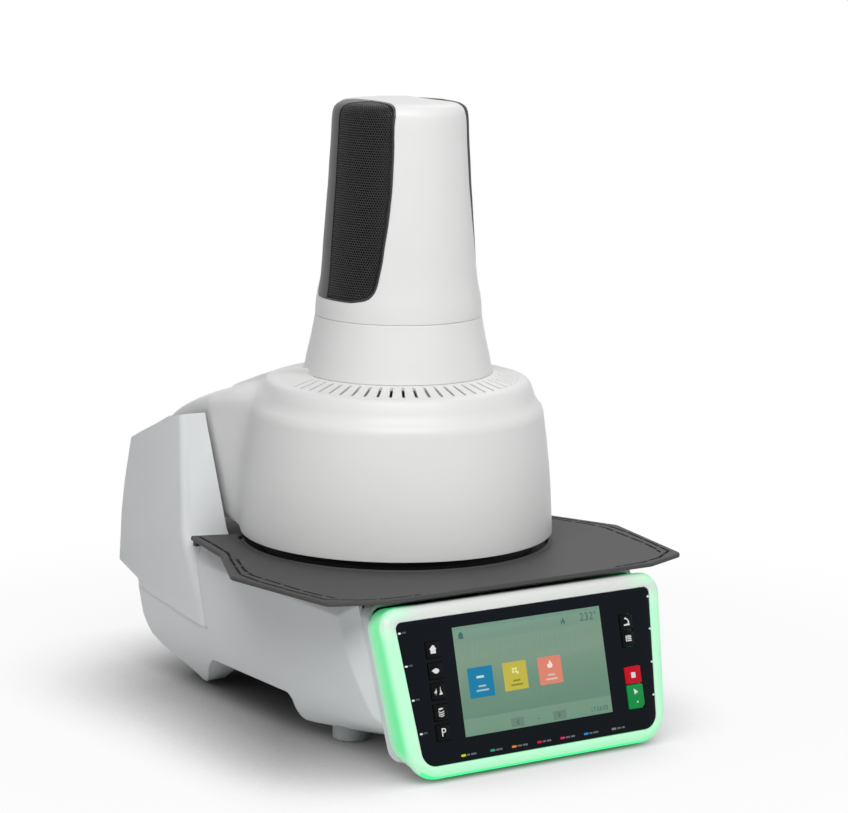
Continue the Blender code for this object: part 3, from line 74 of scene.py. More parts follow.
lamp_side = 1.2
lamp_aim = Vector((0, 0, 0.25))      # about the middle of the furnace
for name, place, power in (
        ('lamp_left', (-1.2, -1.2, 1.947), 24.9), ('lamp_front', (-0.295, -1.671, 1.947), 23.2),
        ('lamp_low_right', (2.268, -0.608, 0.749), 4.5), ('lamp_back', (1.3, 1.09, 1.947), 4.6),
        ('lamp_top', (0.0, -0.04, 2.65), 5.9)):
    lamp = placed(name, bpy.data.lights.new(name, 'AREA'))
    lamp.data.shape = 'SQUARE'
    lamp.data.size = lamp_side
    lamp.data.energy = power
    lamp.location = place
    lamp.rotation_euler = (Vector(place) - lamp_aim).to_track_quat('Z', 'Y').to_euler()


def set_values(node, values):
    """Values on a node's named inputs."""
    for label, value in values.items():
        node.inputs[label].default_value = value
    return node


def add_node(tree, kind, values=None, **options):
    """A new node with its options, then with values on its inputs."""
    node = tree.nodes.new(kind)
    for label, option in options.items():
        setattr(node, label, option)
    return set_values(node, values or {})


def wire(tree, *links):
    """Links, each from a node's output to another node's input."""
    for source, outlet, target, inlet in links:
        tree.links.new(source.outputs[outlet], target.inputs[inlet])


def seen_rays(tree):
    """A node that gives 1 for rays that show the background: camera, mirror and glass rays."""
    ray = add_node(tree, 'ShaderNodeLightPath')
    two, three = (add_node(tree, 'ShaderNodeMath', operation='MAXIMUM') for part in range(2))
    wire(tree, (ray, 'Is Camera Ray', two, 0), (ray, 'Is Glossy Ray', two, 1), (two, 0, three, 0),
         (ray, 'Is Transmission Ray', three, 1))
    return three


def mixed_shader(tree, share, first, second):
    """Two shaders mixed by a number, or by what a node gives."""
    either = add_node(tree, 'ShaderNodeMixShader')
    if isinstance(share, float):
        set_values(either, {0: share})
    else:
        wire(tree, (share, 0, either, 0))
    wire(tree, (first, 0, either, 1), (second, 0, either, 2))
    return either


world = bpy.data.worlds.new('studio')
scene.world = world
world.use_nodes = True
tree = world.node_tree
around = set_values(tree.nodes['Background'], {'Color': (0.93, 0.96, 1.0, 1), 'Strength': 0.07})
seen = add_node(tree, 'ShaderNodeBackground', {'Color': (1, 1, 1, 1), 'Strength': 1.0})
wire(tree, (mixed_shader(tree, seen_rays(tree), around, seen), 0, tree.nodes['World Output'], 'Surface'))

floor_mesh = bpy.data.meshes.new('floor')
floor_mesh.from_pydata([(-9, -9, 0), (9, -9, 0), (9, 9, 0), (-9, 9, 0)], [], [(0, 1, 2, 3)])
floor = placed('floor', floor_mesh)
floor_look = bpy.data.materials.new('pale_floor')
floor_look.use_nodes = True
tree = floor_look.node_tree
matte = set_values(tree.nodes['Principled BSDF'], {'Base Color': (0.93, 0.93, 0.93, 1), 'Roughness': 0.8,
                                                   'Specular IOR Level': 0.1})
# The floor's contact shadow is painted: camera rays see white light dimmed by ambient occlusion, dimmed more on the
# camera's left.
corner = add_node(tree, 'ShaderNodeAmbientOcclusion', {'Distance': 0.16}, samples=12)
deepen = add_node(tree, 'ShaderNodeMath', operation='POWER')
across_view = add_node(tree, 'ShaderNodeVectorMath', {1: (0.836, -0.549, 0)}, operation='DOT_PRODUCT')
shaded_side = add_node(tree, 'ShaderNodeMapRange', {'From Min': -0.09, 'From Max': 0.03, 'To Min': 2.2, 'To Max': 0.9})
level = add_node(tree, 'ShaderNodeMath', {1: 1.15}, operation='MULTIPLY', use_clamp=True)
painted_shadow_white, far_white = (add_node(tree, 'ShaderNodeEmission') for part in range(2))
place = add_node(tree, 'ShaderNodeTexCoord')
away = add_node(tree, 'ShaderNodeVectorMath', operation='LENGTH')
fade = add_node(tree, 'ShaderNodeMapRange', {'From Min': 0.3, 'From Max': 0.75}, interpolation_type='SMOOTHSTEP')
wire(tree, (place, 'Object', away, 0), (away, 'Value', fade, 'Value'), (corner, 'AO', deepen, 0),
     (place, 'Object', across_view, 0), (across_view, 'Value', shaded_side, 'Value'),
     (shaded_side, 'Result', deepen, 1), (deepen, 0, level, 0), (level, 0, painted_shadow_white, 'Strength'))
near = mixed_shader(tree, 0.88, matte, painted_shadow_white)
ground = mixed_shader(tree, fade, near, far_white)
wire(tree, (mixed_shader(tree, seen_rays(tree), matte, ground), 0, tree.nodes['Material Output'], 'Surface'))
floor_mesh.materials.append(floor_look)

# Base cover: a moulded plastic body with drafted sides, low arches between its legs and a flat
# deck. It is sprayed in satin pale grey, with the fine grain of paint over plastic.
def add_sockets(group, way, *sockets):
    """Named sockets of a node group, some with a first value."""
    for label, kind, *value in sockets:
        socket = group.interface.new_socket(label, in_out=way, socket_type='NodeSocket' + kind)
        if value:
            socket.default_value = value[0]


grain_group = bpy.data.node_groups.new('surface_grain', 'ShaderNodeTree')
add_sockets(grain_group, 'INPUT', ('Grain Scale', 'Float', 900.0), ('Grain Height', 'Float', 0.00002),
            ('Patch Scale', 'Float', 14.0), ('Edge Radius', 'Float', 0.0006))
add_sockets(grain_group, 'OUTPUT', ('Normal', 'Vector'), ('Patches', 'Float'), ('Grain', 'Float'))
into, out, where, edges = (add_node(grain_group, kind) for kind in (
    'NodeGroupInput', 'NodeGroupOutput', 'ShaderNodeTexCoord', 'ShaderNodeBevel'))
grain, patches = (add_node(grain_group, 'ShaderNodeTexNoise', {'Detail': detail}) for detail in (3.0, 2.0))
relief = add_node(grain_group, 'ShaderNodeBump', {'Strength': 1.0})
wire(grain_group, (where, 'Object', grain, 'Vector'), (where, 'Object', patches, 'Vector'),
     (into, 'Grain Scale', grain, 'Scale'), (into, 'Patch Scale', patches, 'Scale'),
     (into, 'Edge Radius', edges, 'Radius'), (into, 'Grain Height', relief, 'Distance'),
     (grain, 'Fac', relief, 'Height'), (edges, 'Normal', relief, 'Normal'), (relief, 'Normal', out, 'Normal'),
     (patches, 'Fac', out, 'Patches'), (grain, 'Fac', out, 'Grain'))
rough_spread = 0.05      # either way, with the grain


def finish_material(name, colour, roughness, grain=900.0, height=0.00002, edge=0.0006, shade=0.04, metallic=0.0,
                    specular=0.5, glow=0.0):
    """A finish over the surface grain; colour None takes it from the piece's own ink attribute."""
    look = bpy.data.materials.new(name)
    look.use_nodes = True
    tree = look.node_tree
    shader = set_values(tree.nodes['Principled BSDF'], {'Metallic': metallic, 'Specular IOR Level': specular})
    texture = add_node(tree, 'ShaderNodeGroup', {'Grain Scale': grain, 'Grain Height': height, 'Edge Radius': edge},
                       node_tree=grain_group)
    tint = add_node(tree, 'ShaderNodeMix', data_type='RGBA')
    if colour:
        set_values(tint, {6: (*[part * (1 - shade) for part in colour], 1),
                          7: (*[min(part * (1 + shade), 1) for part in colour], 1)})
        wire(tree, (texture, 'Patches', tint, 0))
    else:
        ink = add_node(tree, 'ShaderNodeAttribute', attribute_name='ink')
        set_values(tint, {7: (0, 0, 0, 1), 0: 0.5 if glow else 0.0})
        wire(tree, (ink, 'Color', tint, 6))
    rough = add_node(tree, 'ShaderNodeMapRange', {'To Min': roughness - rough_spread,
                                                  'To Max': roughness + rough_spread})
    wire(tree, (texture, 'Grain', rough, 'Value'), (tint, 2, shader, 'Base Color'),
         (rough, 'Result', shader, 'Roughness'), (texture, 'Normal', shader, 'Normal'))
    if glow:
        wire(tree, (ink, 'Color', shader, 'Emission Color'))
        set_values(shader, {'Emission Strength': glow})
    return look


def settle(piece, look, body, slot, *nodes):
    """Paint a piece and hand it over: its body and the solids that it takes the place of. The slot is not used."""
    piece.data.materials.clear()
    piece.data.materials.append(look)
    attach(piece, body)
    if nodes:
        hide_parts(*nodes)
    return piece


def smooth(mesh, angle=30):
    """Smooth shading, sharp where faces meet at more than an angle in degrees."""
    mesh.shade_smooth()
    mesh.set_sharp_from_angle(angle=radians(angle))


def merged_copy(node, name):
    """A copy of a solid's mesh with its split corners merged and its flat faces whole."""
    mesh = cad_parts[node].data.copy()
    mesh.name = name
    work = bmesh.new()
    work.from_mesh(mesh)
    bmesh.ops.remove_doubles(work, verts=work.verts, dist=0.00001)
    bmesh.ops.dissolve_limit(work, angle_limit=radians(0.2), verts=work.verts, edges=work.edges)
    work.to_mesh(mesh)
    work.free()
    smooth(mesh)
    return placed(name, mesh)


panel_lean = radians(14.87)
panel_up = Vector((0, sin(panel_lean), cos(panel_lean)))
panel_out = Vector((0, -cos(panel_lean), sin(panel_lean)))
panel_y, panel_z = 207.5, 75.1      # the panel's middle: millimetres ahead of the axis, and high
panel_middle = Vector((0, axis_y - panel_y / 1000, panel_z / 1000))


def on_panel(u, v, depth):
    """A point from millimetres along the panel, up it and into it."""
    return panel_middle + (Vector((1, 0, 0)) * u + panel_up * v - panel_out * depth) * 0.001


def rounded_outline(corners, steps=12, between=0):
    """A closed outline from (x, y, radius) corners: an arc at each, and points along the straight runs."""
    arcs = []
    for index, (x, y, radius) in enumerate(corners):
        here = Vector((x, y))
        if radius < 0.05:
            arcs.append([here])
            continue
        before = (Vector(corners[index - 1][:2]) - here).normalized()
        after = (Vector(corners[(index + 1) % len(corners)][:2]) - here).normalized()
        half = before.angle(after) / 2
        middle = here + (before + after).normalized() * (radius / sin(half))
        start = here + before * (radius / tan(half)) - middle
        sweep = start.angle_signed(here + after * (radius / tan(half)) - middle)
        arcs.append([middle + Matrix.Rotation(-sweep * step / steps, 2) @ start for step in range(steps + 1)])
    points = []
    for index, arc in enumerate(arcs):
        points += arc
        following = arcs[(index + 1) % len(arcs)][0]
        points += [arc[-1].lerp(following, part / (between + 1)) for part in range(1, between + 1)]
    return points


def mirrored_outline(right, steps=12, between=0):
    """A rounded outline from its right-hand corners and their mirror image."""
    corners = [*right, *[(-x, y, radius) for x, y, radius in reversed(right)]]
    return rounded_outline(corners, steps, between)


def add_skin(work, rings, wrap=False):
    """Faces through rings of equally many points; wrapped, the last ring joins the first."""
    rings = [[work.verts.new(tuple(point)) for point in ring] for ring in rings]
    following = [*range(1, len(rings[0])), 0]
    faces = []
    for low, high in zip(rings, rings[1:] + (rings[:1] if wrap else [])):
        faces += [work.faces.new((low[index], low[other], high[other], high[index]))
                  for index, other in enumerate(following)]
    if not wrap:
        faces += [work.faces.new(rings[0]), work.faces.new(rings[-1])]
    bmesh.ops.recalc_face_normals(work, faces=faces)
    return rings


def piece_from(work, name):
    mesh = bpy.data.meshes.new(name)
    work.to_mesh(mesh)
    work.free()
    smooth(mesh)
    return placed(name, mesh)


def skin(name, rings, wrap=False):
    work = bmesh.new()
    add_skin(work, rings, wrap)
    return piece_from(work, name)


def plain_mesh(piece):
    """The mesh that a piece shows, as a mesh of its own."""
    return bpy.data.meshes.new_from_object(piece.evaluated_get(bpy.context.evaluated_depsgraph_get()))


def cut(piece, tool, operation='DIFFERENCE'):
    """Cut a piece with a tool that is used up."""
    change = piece.modifiers.new('cut', 'BOOLEAN')
    change.operation = operation
    change.object = tool
    bpy.context.view_layer.update()
    made = plain_mesh(piece)
    piece.modifiers.clear()
    piece.data = made
    bpy.data.objects.remove(tool, do_unlink=True)
    smooth(made, 35)
    return piece


def panel_rings(name, outlines, wrap=False):
    """A body square to the panel, from outlines on it, each with its depth."""
    return skin(name, [[on_panel(u, v, depth) for u, v in outline] for outline, depth in outlines], wrap)


def metres(x, y, z):
    """A point from millimetres about the head's axis."""
    return x * 0.001, y * 0.001 + axis_y, z * 0.001


def flat_rings(name, outlines):
    """A body from level outlines in millimetres, each with its height."""
    return skin(name, [[metres(x, y, z) for x, y in outline] for outline, z in outlines])


def plate(name, outline, low, high):
    return flat_rings(name, [(outline, low), (outline, high)])


def soft_least(first, second, width):
    """The lesser of two values, with a smooth change over a width."""
    share = np.clip(0.5 + 0.5 * (second - first) / width, 0, 1)
    return second * (1 - share) + first * share - width * share * (1 - share)


def soft_most(first, second, width):
    return -soft_least(-first, -second, width)


def across_block(name, outline, near=-200, far=200):
    """A block along x from an outline of (y, z) points in millimetres."""
    return skin(name, [[metres(x, y, z) for y, z in outline] for x in (near, far)])


cover_heights = (4.1, 21.2, 37, 54.1, 84.9, 137)
cover_halves = ((50.9, 93.4, 125.9, 130.9, 137.3, 141.5), (113.2, 130.2, 135.8, 138.4, 139.4, 140.5),
                (112.5, 128.8, 137.4, 141.6, 144, 144), (111.8, 127.4, 138.7, 141.6, 144.6, 144.6))
cover_front = (-145.3, -166, -197.1, -199.2, -199.2, -199.2)
cover_rear = (159, 179, 193.5, 200.5, 204.5, 204.5)
cover_corner = (28.3, 20, 12, 8, 7, 7)
seam_depth = 36.0              # of the cover's front edge behind the panel's face


def at_height(z, column):
    return np.interp(z, cover_heights, column)


def cover_half(y, z):
    """Half the cover's width: its drafted side, turned in behind the panel and drawn in below the deck."""
    side = 0      # softened along y and z as the mean of 35 readings
    for lift in (-9, -6, -3, 0, 3, 6, 9):
        halves = [at_height(z + lift, column) for column in cover_halves]
        places = (at_height(z + lift, cover_front), -45, 77, at_height(z + lift, cover_rear))
        for shift in (-16, -8, 0, 8, 16):
            side = side + np.interp(y + shift, places, halves) / 35
    depth = (y + panel_y) * cos(panel_lean) - (z - panel_z) * sin(panel_lean)
    v = (y + panel_y) * sin(panel_lean) + (z - panel_z) * cos(panel_lean)
    turned_in = 125.4 + (v + 42) * 0.0807 + (depth - seam_depth) * np.interp(v, (10, 60), (0.43, 0.25))
    return soft_least(soft_least(side, turned_in, 0.6), side + (121.5 - z) * 0.45, 0.6)


def cover_ring(z, inset=0.0):
    """One level of the cover; an inset one is drawn in from the wall and runs out through the open front."""
    low_front = at_height(z, cover_front)
    v = (z - panel_z + seam_depth * sin(panel_lean)) / cos(panel_lean)
    front = max(-panel_y + v * sin(panel_lean) + seam_depth * cos(panel_lean), low_front)
    if inset:
        front = -240 if z > 30 else low_front + inset
    rear, radius = at_height(z, cover_rear) - inset, at_height(z, cover_corner) - inset
    y = np.concatenate((front + np.arange(34.0), np.linspace(front + 34, rear - radius, 46)))
    right = list(zip(cover_half(y, z) - inset, y))
    middle_x, middle_y = right[-1][0] - radius, right[-1][1]
    right += [(middle_x + radius * cos(a), middle_y + radius * sin(a))
              for a in np.radians((15, 30, 45, 60, 75, 90))]
    return [(-x, y) for x, y in right] + list(reversed(right))


cover_low = cover_heights[0]
levels = np.concatenate((np.linspace(cover_low, 113, 37), np.arange(114, 130), np.linspace(131, 137, 4)))
base_cover = flat_rings('base_cover', [(cover_ring(z), z) for z in levels])
inside_wall = flat_rings('inside_wall', [(cover_ring(z, 1.2), z) for z in (
    4.3, 8, 12, 16, 21.2, 28, 32, 37, 45, 54.1, 60)])
foot_places = [(side * x, y) for x, y in ((91.5, -76), (88, 165)) for side in (-1, 1)]


def circle(x, y, radius, corners):
    return [(x + radius * cos(a), y + radius * sin(a)) for a in np.arange(corners) * tau / corners]


def round_bar(name, x, y, radius, low, high, corners=32):
    return plate(name, circle(x, y, radius, corners), low, high)


def joined(name, pieces):
    """One piece from several that stand apart."""
    work = bmesh.new()
    for part in pieces:
        work.from_mesh(part.data)
        bpy.data.objects.remove(part, do_unlink=True)
    return piece_from(work, name)


def foot_holes():
    return joined('foot_holes', [round_bar('foot_hole', x, y, 15.8, 0, 15) for x, y in foot_places])


arch = rounded_outline(((-230, -8, 0), (128, -8, 0), (128, 4, 0), (77, 38, 1.5), (-52, 38, 7), (-45, 12, 4),
                        (-230, 12, 0)), 6)
cut(base_cover, across_block('arch', arch))
cut(base_cover, across_block('housing_space', [(76.8, 65.8), (240, 83.8), (240, 141), (97.4, 141)]))
cut(base_cover, round_bar('deck_hole', 0, 0, 62, 130, 145, 64))
cut(base_cover, foot_holes())
wall = 3.0
cut(base_cover, flat_rings('hollow', [(cover_ring(cover_low, wall), -4)] + [
    (cover_ring(z, wall), z) for z in (cover_low, 21.2, 28, 32, 37, 54.1, 84.9, 118, 134)]))
leg_web = [(128.2, 4.2), (77.2, 38.2), (80, 42), (132, 8)]
pads = joined('cover_pads', [across_block('web', leg_web, *ends) for ends in ((-139, -96), (96, 139))] + [
    round_bar('pad', x, y, 18.5, 12.1 if y < 0 else 4.4, 18) for x, y in foot_places])
cut(pads, inside_wall, 'INTERSECT')
cut(pads, foot_holes())
base_paint = finish_material('base_paint', (0.81, 0.83, 0.84), 0.42, grain=1300, height=0.000012, edge=0.0007,
                             shade=0.012, specular=0.3)
settle(base_cover, base_paint, 'base', 'grey_cover', 'base_shell')
settle(pads, base_paint, 'base', 'grey_cover')

# Feet: grey moulded rubber pucks pressed into the seats under the base.
def dressed(node, name, look, body, slot):
    """A piece that keeps its solid's own shape."""
    return settle(merged_copy(node, name), look, body, slot, node)


foot_rubber = finish_material('grey_rubber', (0.5, 0.51, 0.51), 0.75, grain=700, height=0.00005, edge=0.0008)
for corner in ('front_left', 'front_right', 'rear_left', 'rear_right'):
    dressed('foot_' + corner, 'rubber_foot_' + corner, foot_rubber, 'base', 'foot_rubber')

# Rear housing: the second half of the cover, which rises in two cheeks round the hinge.
dressed('rear_housing', 'hinge_housing', base_paint, 'base', 'grey_cover')

# Panel band: the narrow moulded frame between the light ring and the cover.
band_rings = []
for depth, inset in ((27.9, 0), (seam_depth - 0.3, 0), (seam_depth - 0.3, 3), (27.9, 3)):
    wider = (depth - 31.6) * 0.27
    corners = ((124.1 - inset, -58 + inset, 14 - inset), (133.5 + wider - inset, 71.5 + wider - inset, 12 - inset))
    band_rings.append((mirrored_outline(corners, 8), depth))
settle(panel_rings('panel_band', band_rings, wrap=True), base_paint, 'base', 'grey_cover', 'panel_housing')

# Channel sheet: a thin black sheet on the housing between the cheeks, behind the deck, as painted shade in the gap
# under the arm.
painted_shade_sheet = plate('channel_shade_sheet', [(-106.5, 94), (106.5, 94), (107.5, 168), (-107.5, 168)], 137.05, 138.2)

# Inner steel, brass and board pieces, which show when the head is open or through a gap.
dark_coat = finish_material('dark_coat', (0.1, 0.1, 0.1), 0.5, grain=500, height=0.00003, metallic=0.6)
steel = finish_material('satin_steel', (0.56, 0.56, 0.55), 0.34, grain=1500, height=0.00001, metallic=1.0)
brass = finish_material('turned_brass', (0.62, 0.45, 0.2), 0.32, grain=1500, height=0.00001, metallic=1.0)
black_plastic = finish_material('black_plastic', (0.022, 0.022, 0.022), 0.5, grain=900, height=0.00003)
board_lacquer = finish_material('board_lacquer', (0.02, 0.12, 0.06), 0.4)


def dress_solids(body, *rows):
    """Pieces that keep the shape of their solids: a finish, its slot and the names of the solids."""
    for look, slot, nodes in rows:
        for node in nodes.split():
            dressed(node, node + '_dressed', look, body, slot)


dress_solids('base', (dark_coat, 'dark_steel', 'bottom_plate rear_cover lift_motor vacuum_valve'),
             (steel, 'steel', 'hinge_pin power_supply table_support'),
             (brass, 'brass', 'hinge_bush_left hinge_bush_right vacuum_port'),
             (black_plastic, 'black_plastic', 'power_inlet base_deck tray_hook_left tray_hook_right'),
             (board_lacquer, 'circuit_board', 'control_board'))
dressed('power_switch', 'rocker_cap', black_plastic, 'rocker', 'black_plastic')
settle(painted_shade_sheet, black_plastic, 'base', 'black_plastic')

# Light ring: a translucent moulded tub round the panel, milky white above and lit green from inside
# along its sides and its lower edge. Its front edge is rounded, and a ledge inside takes the glass.
def glass_edge(grow, steps=14, between=0):
    low, top = -62.4 - grow, 53.5 + grow
    half_low, half_top = (119.0 + (v - 53.5) * 10.5 / 115.9 + 5.9 + grow for v in (low, top))
    return mirrored_outline(((half_low, low, 13 + grow), (half_top, top, max(5 + grow, 1))), steps, between)


def ring_edge(inset, back=0.0):
    low, top = -73 + inset + 10 * back, 66 - inset
    half_low, half_top = 125.5 - inset - 0.4 * back, 139.0 - inset * 0.9 - 3.7 * back
    return mirrored_outline(((half_low, low, 28 - inset), (half_top, top, 17 - inset)), 14, 10)


front_round = 7.5      # radius of the ring's front edge
ring_depth = 27.6
ring_levels = [(ring_edge(0, back), depth) for back, depth in ((1, ring_depth), (0.66, 20), (0.33, 12))]
for step in range(9, -1, -1):
    bend = pi / 2 * step / 9
    ring_levels.append((ring_edge(front_round * (1 - sin(bend))), front_round * (1 - cos(bend))))
ring_levels += [(glass_edge(grow, between=10), depth) for grow, depth in (
    (1.2, 0), (0.5, 0.25), (0.3, 0.9), (0.3, 3.6), (-6, 3.6), (-6, ring_depth))]
light_ring = panel_rings('glow_ring', ring_levels, wrap=True)


def fade_between(low, high, value):
    """A smooth run from 0 at the low value to 1 at the high one."""
    share = min(max((value - low) / (high - low), 0.0), 1.0)
    return share * share * (3 - 2 * share)


glow = light_ring.data.attributes.new('glow', 'FLOAT', 'POINT')
for point in light_ring.data.vertices:
    local = point.co - panel_middle
    u, v, depth = abs(local.x) * 1000, local.dot(panel_up) * 1000, -local.dot(panel_out) * 1000
    beside = fade_between(104, 124, u) * (1 - fade_between(40, 62, v + max(0, 128 - u) * 1.2))
    below = 1 - fade_between(-62, -46, v)
    outside = fade_between(1.0, 7.0, depth)
    corner_light = fade_between(119, 130, u) * (1 - fade_between(55, 66.5, v)) * outside
    top_edge = fade_between(106, 126, u) * fade_between(52, 60, v)
    lit = max(beside, below, corner_light, 0.8 * top_edge)
    low_side = fade_between(60, 48, v + 108) if v < -48 else 0.0
    spill = fade_between(15, 27, depth) * 0.6
    level = lit * (0.5 + 0.32 * outside * (1 - low_side)) * (1 - spill) * (1 - 0.5 * low_side * outside)
    lowest_line = v < -66 and 2.5 < depth < 15
    glow.data[point.index].value = 1.0 if lowest_line else level
ring_plastic = finish_material('ring_plastic', (0.8, 0.82, 0.79), 0.35, grain=1200, height=0.00001, edge=0.0006,
                               shade=0.01, specular=0.3)
tree = ring_plastic.node_tree
shader = tree.nodes['Principled BSDF']
lit_part = add_node(tree, 'ShaderNodeAttribute', attribute_name='glow')
for label, stops in (
        ('Base Color', ((0.0, (0.8, 0.82, 0.79)), (0.45, (0.6, 0.72, 0.63)), (0.82, (0.28, 0.52, 0.36)),
                        (1, (0.1, 0.4, 0.2)))),
        ('Emission Color', ((0.0, (0, 0, 0)), (0.45, (0.03, 0.34, 0.13)), (0.82, (0.0, 0.5, 0.13)),
                            (1, (0, 0.8, 0.22))))):
    ramp = add_node(tree, 'ShaderNodeValToRGB')
    while len(ramp.color_ramp.elements) < len(stops):
        ramp.color_ramp.elements.new(0.5)
    for stop, (where_at, colour) in zip(ramp.color_ramp.elements, stops):
        stop.position = where_at
        stop.color = (*colour, 1)
    wire(tree, (lit_part, 'Fac', ramp, 'Fac'), (ramp, 'Color', shader, label))
set_values(shader, {'Emission Strength': 1.0})
settle(light_ring, ring_plastic, 'base', 'light_ring', 'light_ring')

# Panel glass: one dark pane, screen printed from behind, open round the display and round each key.
# White marks stand along its sides, and a row of coloured dashes with their captions below.
key_places = [(f'left_{number}', -93.7, v, 6.4, 6.4)
              for number, v in enumerate((28.9, 12.1, -4.3, -21.0, -37.2), 1)]
key_places += [('right_1', 97.0, 27.3, 6.4, 6.27), ('right_2', 97.0, 13.2, 6.4, 6.27),
               ('stop', 97.0, -16.65, 8.0, 7.15), ('start', 97.0, -34.4, 8.0, 9.9)]


def box_corners(u, v, half_u, half_v):
    return [(u - half_u, v - half_v), (u + half_u, v - half_v), (u + half_u, v + half_v), (u - half_u, v + half_v)]


screen_half_u, screen_half_v, key_gap = 72.5, 43.75, 0.3
glass = panel_rings('panel_window', [(glass_edge(grow), depth) for grow, depth in (
    (-0.5, 0.3), (-0.15, 0.45), (0, 0.8), (0, 3.3))])
for name, u, v, half_u, half_v in [*key_places, ('display', 0, 0, screen_half_u, screen_half_v)]:
    hole = box_corners(u, v, half_u + key_gap, half_v + key_gap)
    cut(glass, panel_rings('hole', [(hole, -4), (hole, 8)]))
panel_black = finish_material('panel_black', (0.004, 0.006, 0.009), 0.16, height=0.0, edge=0.0002, specular=0.07)
settle(glass, panel_black, 'base', 'panel_glass', 'panel_glass')


def new_print():
    """A mesh that takes printed shapes, each in its own ink."""
    work = bmesh.new()
    work.verts.layers.float_color.new('ink')
    return work


def ink_shape(work, points, colour, depth, rise=0.06, colours=None):
    """A printed shape on the panel, a thin closed prism."""
    layer = work.verts.layers.float_color['ink']
    for ring in add_skin(work, [[on_panel(u, v, level) for u, v in points] for level in (depth, depth - rise)]):
        for index, vert in enumerate(ring):
            vert[layer] = (*(colours[index] if colours else colour), 1)


def moved(shape, u, v, wide=1.0, high=1.0):
    """A shape set at a place, wider and higher by its shares."""
    return [(u + a * wide, v + b * high) for a, b in shape]


def ink_box(work, u, v, half_u, half_v, colour, depth, rise=0.06):
    ink_shape(work, box_corners(u, v, half_u, half_v), colour, depth, rise)


def ink_dot(work, u, v, radius, colour, depth, rise=0.06):
    ink_shape(work, circle(u, v, radius, 14), colour, depth, rise)


def ink_tile(work, left, right, low, top, radius, colour, depth, rise=0.06):
    corners = [(u, v, radius) for u, v in ((left, low), (right, low), (right, top), (left, top))]
    ink_shape(work, rounded_outline(corners, 3), colour, depth, rise)


def ink_text(work, words, u, v, height, colour, depth, rise=0.06):
    """Numbers, or one letter, set about a point; the curve is a mesh before it takes its place."""
    curve = bpy.data.curves.new('figures', 'FONT')
    curve.body = words
    curve.size = height / 0.69
    curve.extrude = rise / 2
    curve.resolution_u = 3
    curve.align_x, curve.align_y = 'CENTER', 'CENTER'
    holder = placed('figures', curve)
    flat = plain_mesh(holder)
    layer = work.verts.layers.float_color['ink']
    made = [work.verts.new(on_panel(u + point.co.x, v + point.co.y, depth - point.co.z - rise / 2))
            for point in flat.vertices]
    for vert in made:
        vert[layer] = (*colour, 1)
    faces = [work.faces.new([made[index] for index in face.vertices]) for face in flat.polygons]
    bmesh.ops.remove_doubles(work, verts=made, dist=0.0000005)
    bmesh.ops.recalc_face_normals(work, faces=[face for face in faces if face.is_valid])
    bpy.data.objects.remove(holder, do_unlink=True)
    bpy.data.curves.remove(curve)
    bpy.data.meshes.remove(flat)


white_ink, grey_ink = (0.8, 0.83, 0.82), (0.22, 0.23, 0.25)
marks = new_print()
left_mark = ((-1.6, -0.3), (-0.3, -0.9), (1.3, -0.5), (1.3, 0.5), (-0.3, 0.9), (-1.6, 0.3))
right_mark = ((-0.9, -0.4), (0.6, -1.1), (1.3, -0.3), (1.3, 0.3), (0.6, 1.1), (-0.9, 0.4))
for u, v in ((-122.0, 45.4), (-119.6, 18.9), (-117.2, -8.4), (-113.8, -35.4)):
    ink_shape(marks, moved(left_mark, u, v), white_ink, 0.3)
    for step, wide in enumerate((0.7, 0.9)):
        ink_box(marks, u + 3.0 + step * 1.9, v + 0.2, wide, 0.7, (0.09, 0.1, 0.11), 0.3)
for u, v in ((122.6, 45.4), (120.4, 18.9), (118.0, -8.4), (115.4, -35.4)):
    ink_shape(marks, moved(right_mark, u, v), white_ink, 0.3)
captions = ((-77.2, (0.7, 0.66, 0.03), (3.2, 5.4)), (-49.1, (0.02, 0.36, 0.22), (6.6,)),
            (-28.2, (0.8, 0.24, 0.03), (4, 5)), (-3.3, (0.66, 0.01, 0.05), (3.4, 4.4)),
            (19.5, (0.72, 0.03, 0.14), (4.6, 4.2)), (43.1, (0.02, 0.26, 0.6), (3.2, 5.6)), (71.2, grey_ink, (4.4, 3)))
for u, colour, words in captions:
    ink_tile(marks, u - 2.3, u + 2.3, -58.6, -56.8, 0.7, colour, 0.3)
    start = u + 3.2
    for word in words:
        for letter in range(round(word / 1.1)):
            ink_box(marks, start + 0.45, -57.7, 0.32, 0.62 + 0.2 * (letter % 2), grey_ink, 0.3)
            start += 1.05
        start += 0.8
ink = finish_material('printed_ink', None, 0.5, height=0.0, edge=0.0, specular=0.2)
settle(piece_from(marks, 'panel_marks'), ink, 'base', 'panel_glass')

# Display: a lit pane behind the glass, sea green with a paler foot, with three coloured tiles, the
# temperature and the time in plain figures.
screen = new_print()
ink_box(screen, 0, 0, screen_half_u, screen_half_v, (0.16, 0.28, 0.21), 3.2, 2.6)
bands = ((screen_half_v, (0.225, 0.345, 0.29)), (31, (0.235, 0.34, 0.265)), (30.6, (0.25, 0.35, 0.27)),
         (13, (0.25, 0.345, 0.262)), (-10, (0.185, 0.3, 0.225)), (-30, (0.16, 0.275, 0.208)),
         (-30.4, (0.21, 0.315, 0.215)), (-screen_half_v, (0.19, 0.3, 0.215)))
for (upper, upper_colour), (lower, lower_colour) in zip(bands, bands[1:]):
    band = [(-screen_half_u, lower), (screen_half_u, lower), (screen_half_u, upper), (-screen_half_u, upper)]
    ink_shape(screen, band, None, 0.62, 0.02, colours=(lower_colour, lower_colour, upper_colour, upper_colour))
dark_ink, pale_ink = (0.045, 0.12, 0.1), (0.55, 0.66, 0.6)
flame = ((-1.6, -3.2), (-2.4, -1.4), (-2, 0.6), (-0.9, -0.4), (-0.2, 3.2), (1.4, 1), (2.2, -1), (1.6, -3),
         (0.9, -3.2), (0.6, -1.6), (-0.2, -0.4), (-0.9, -1.8))
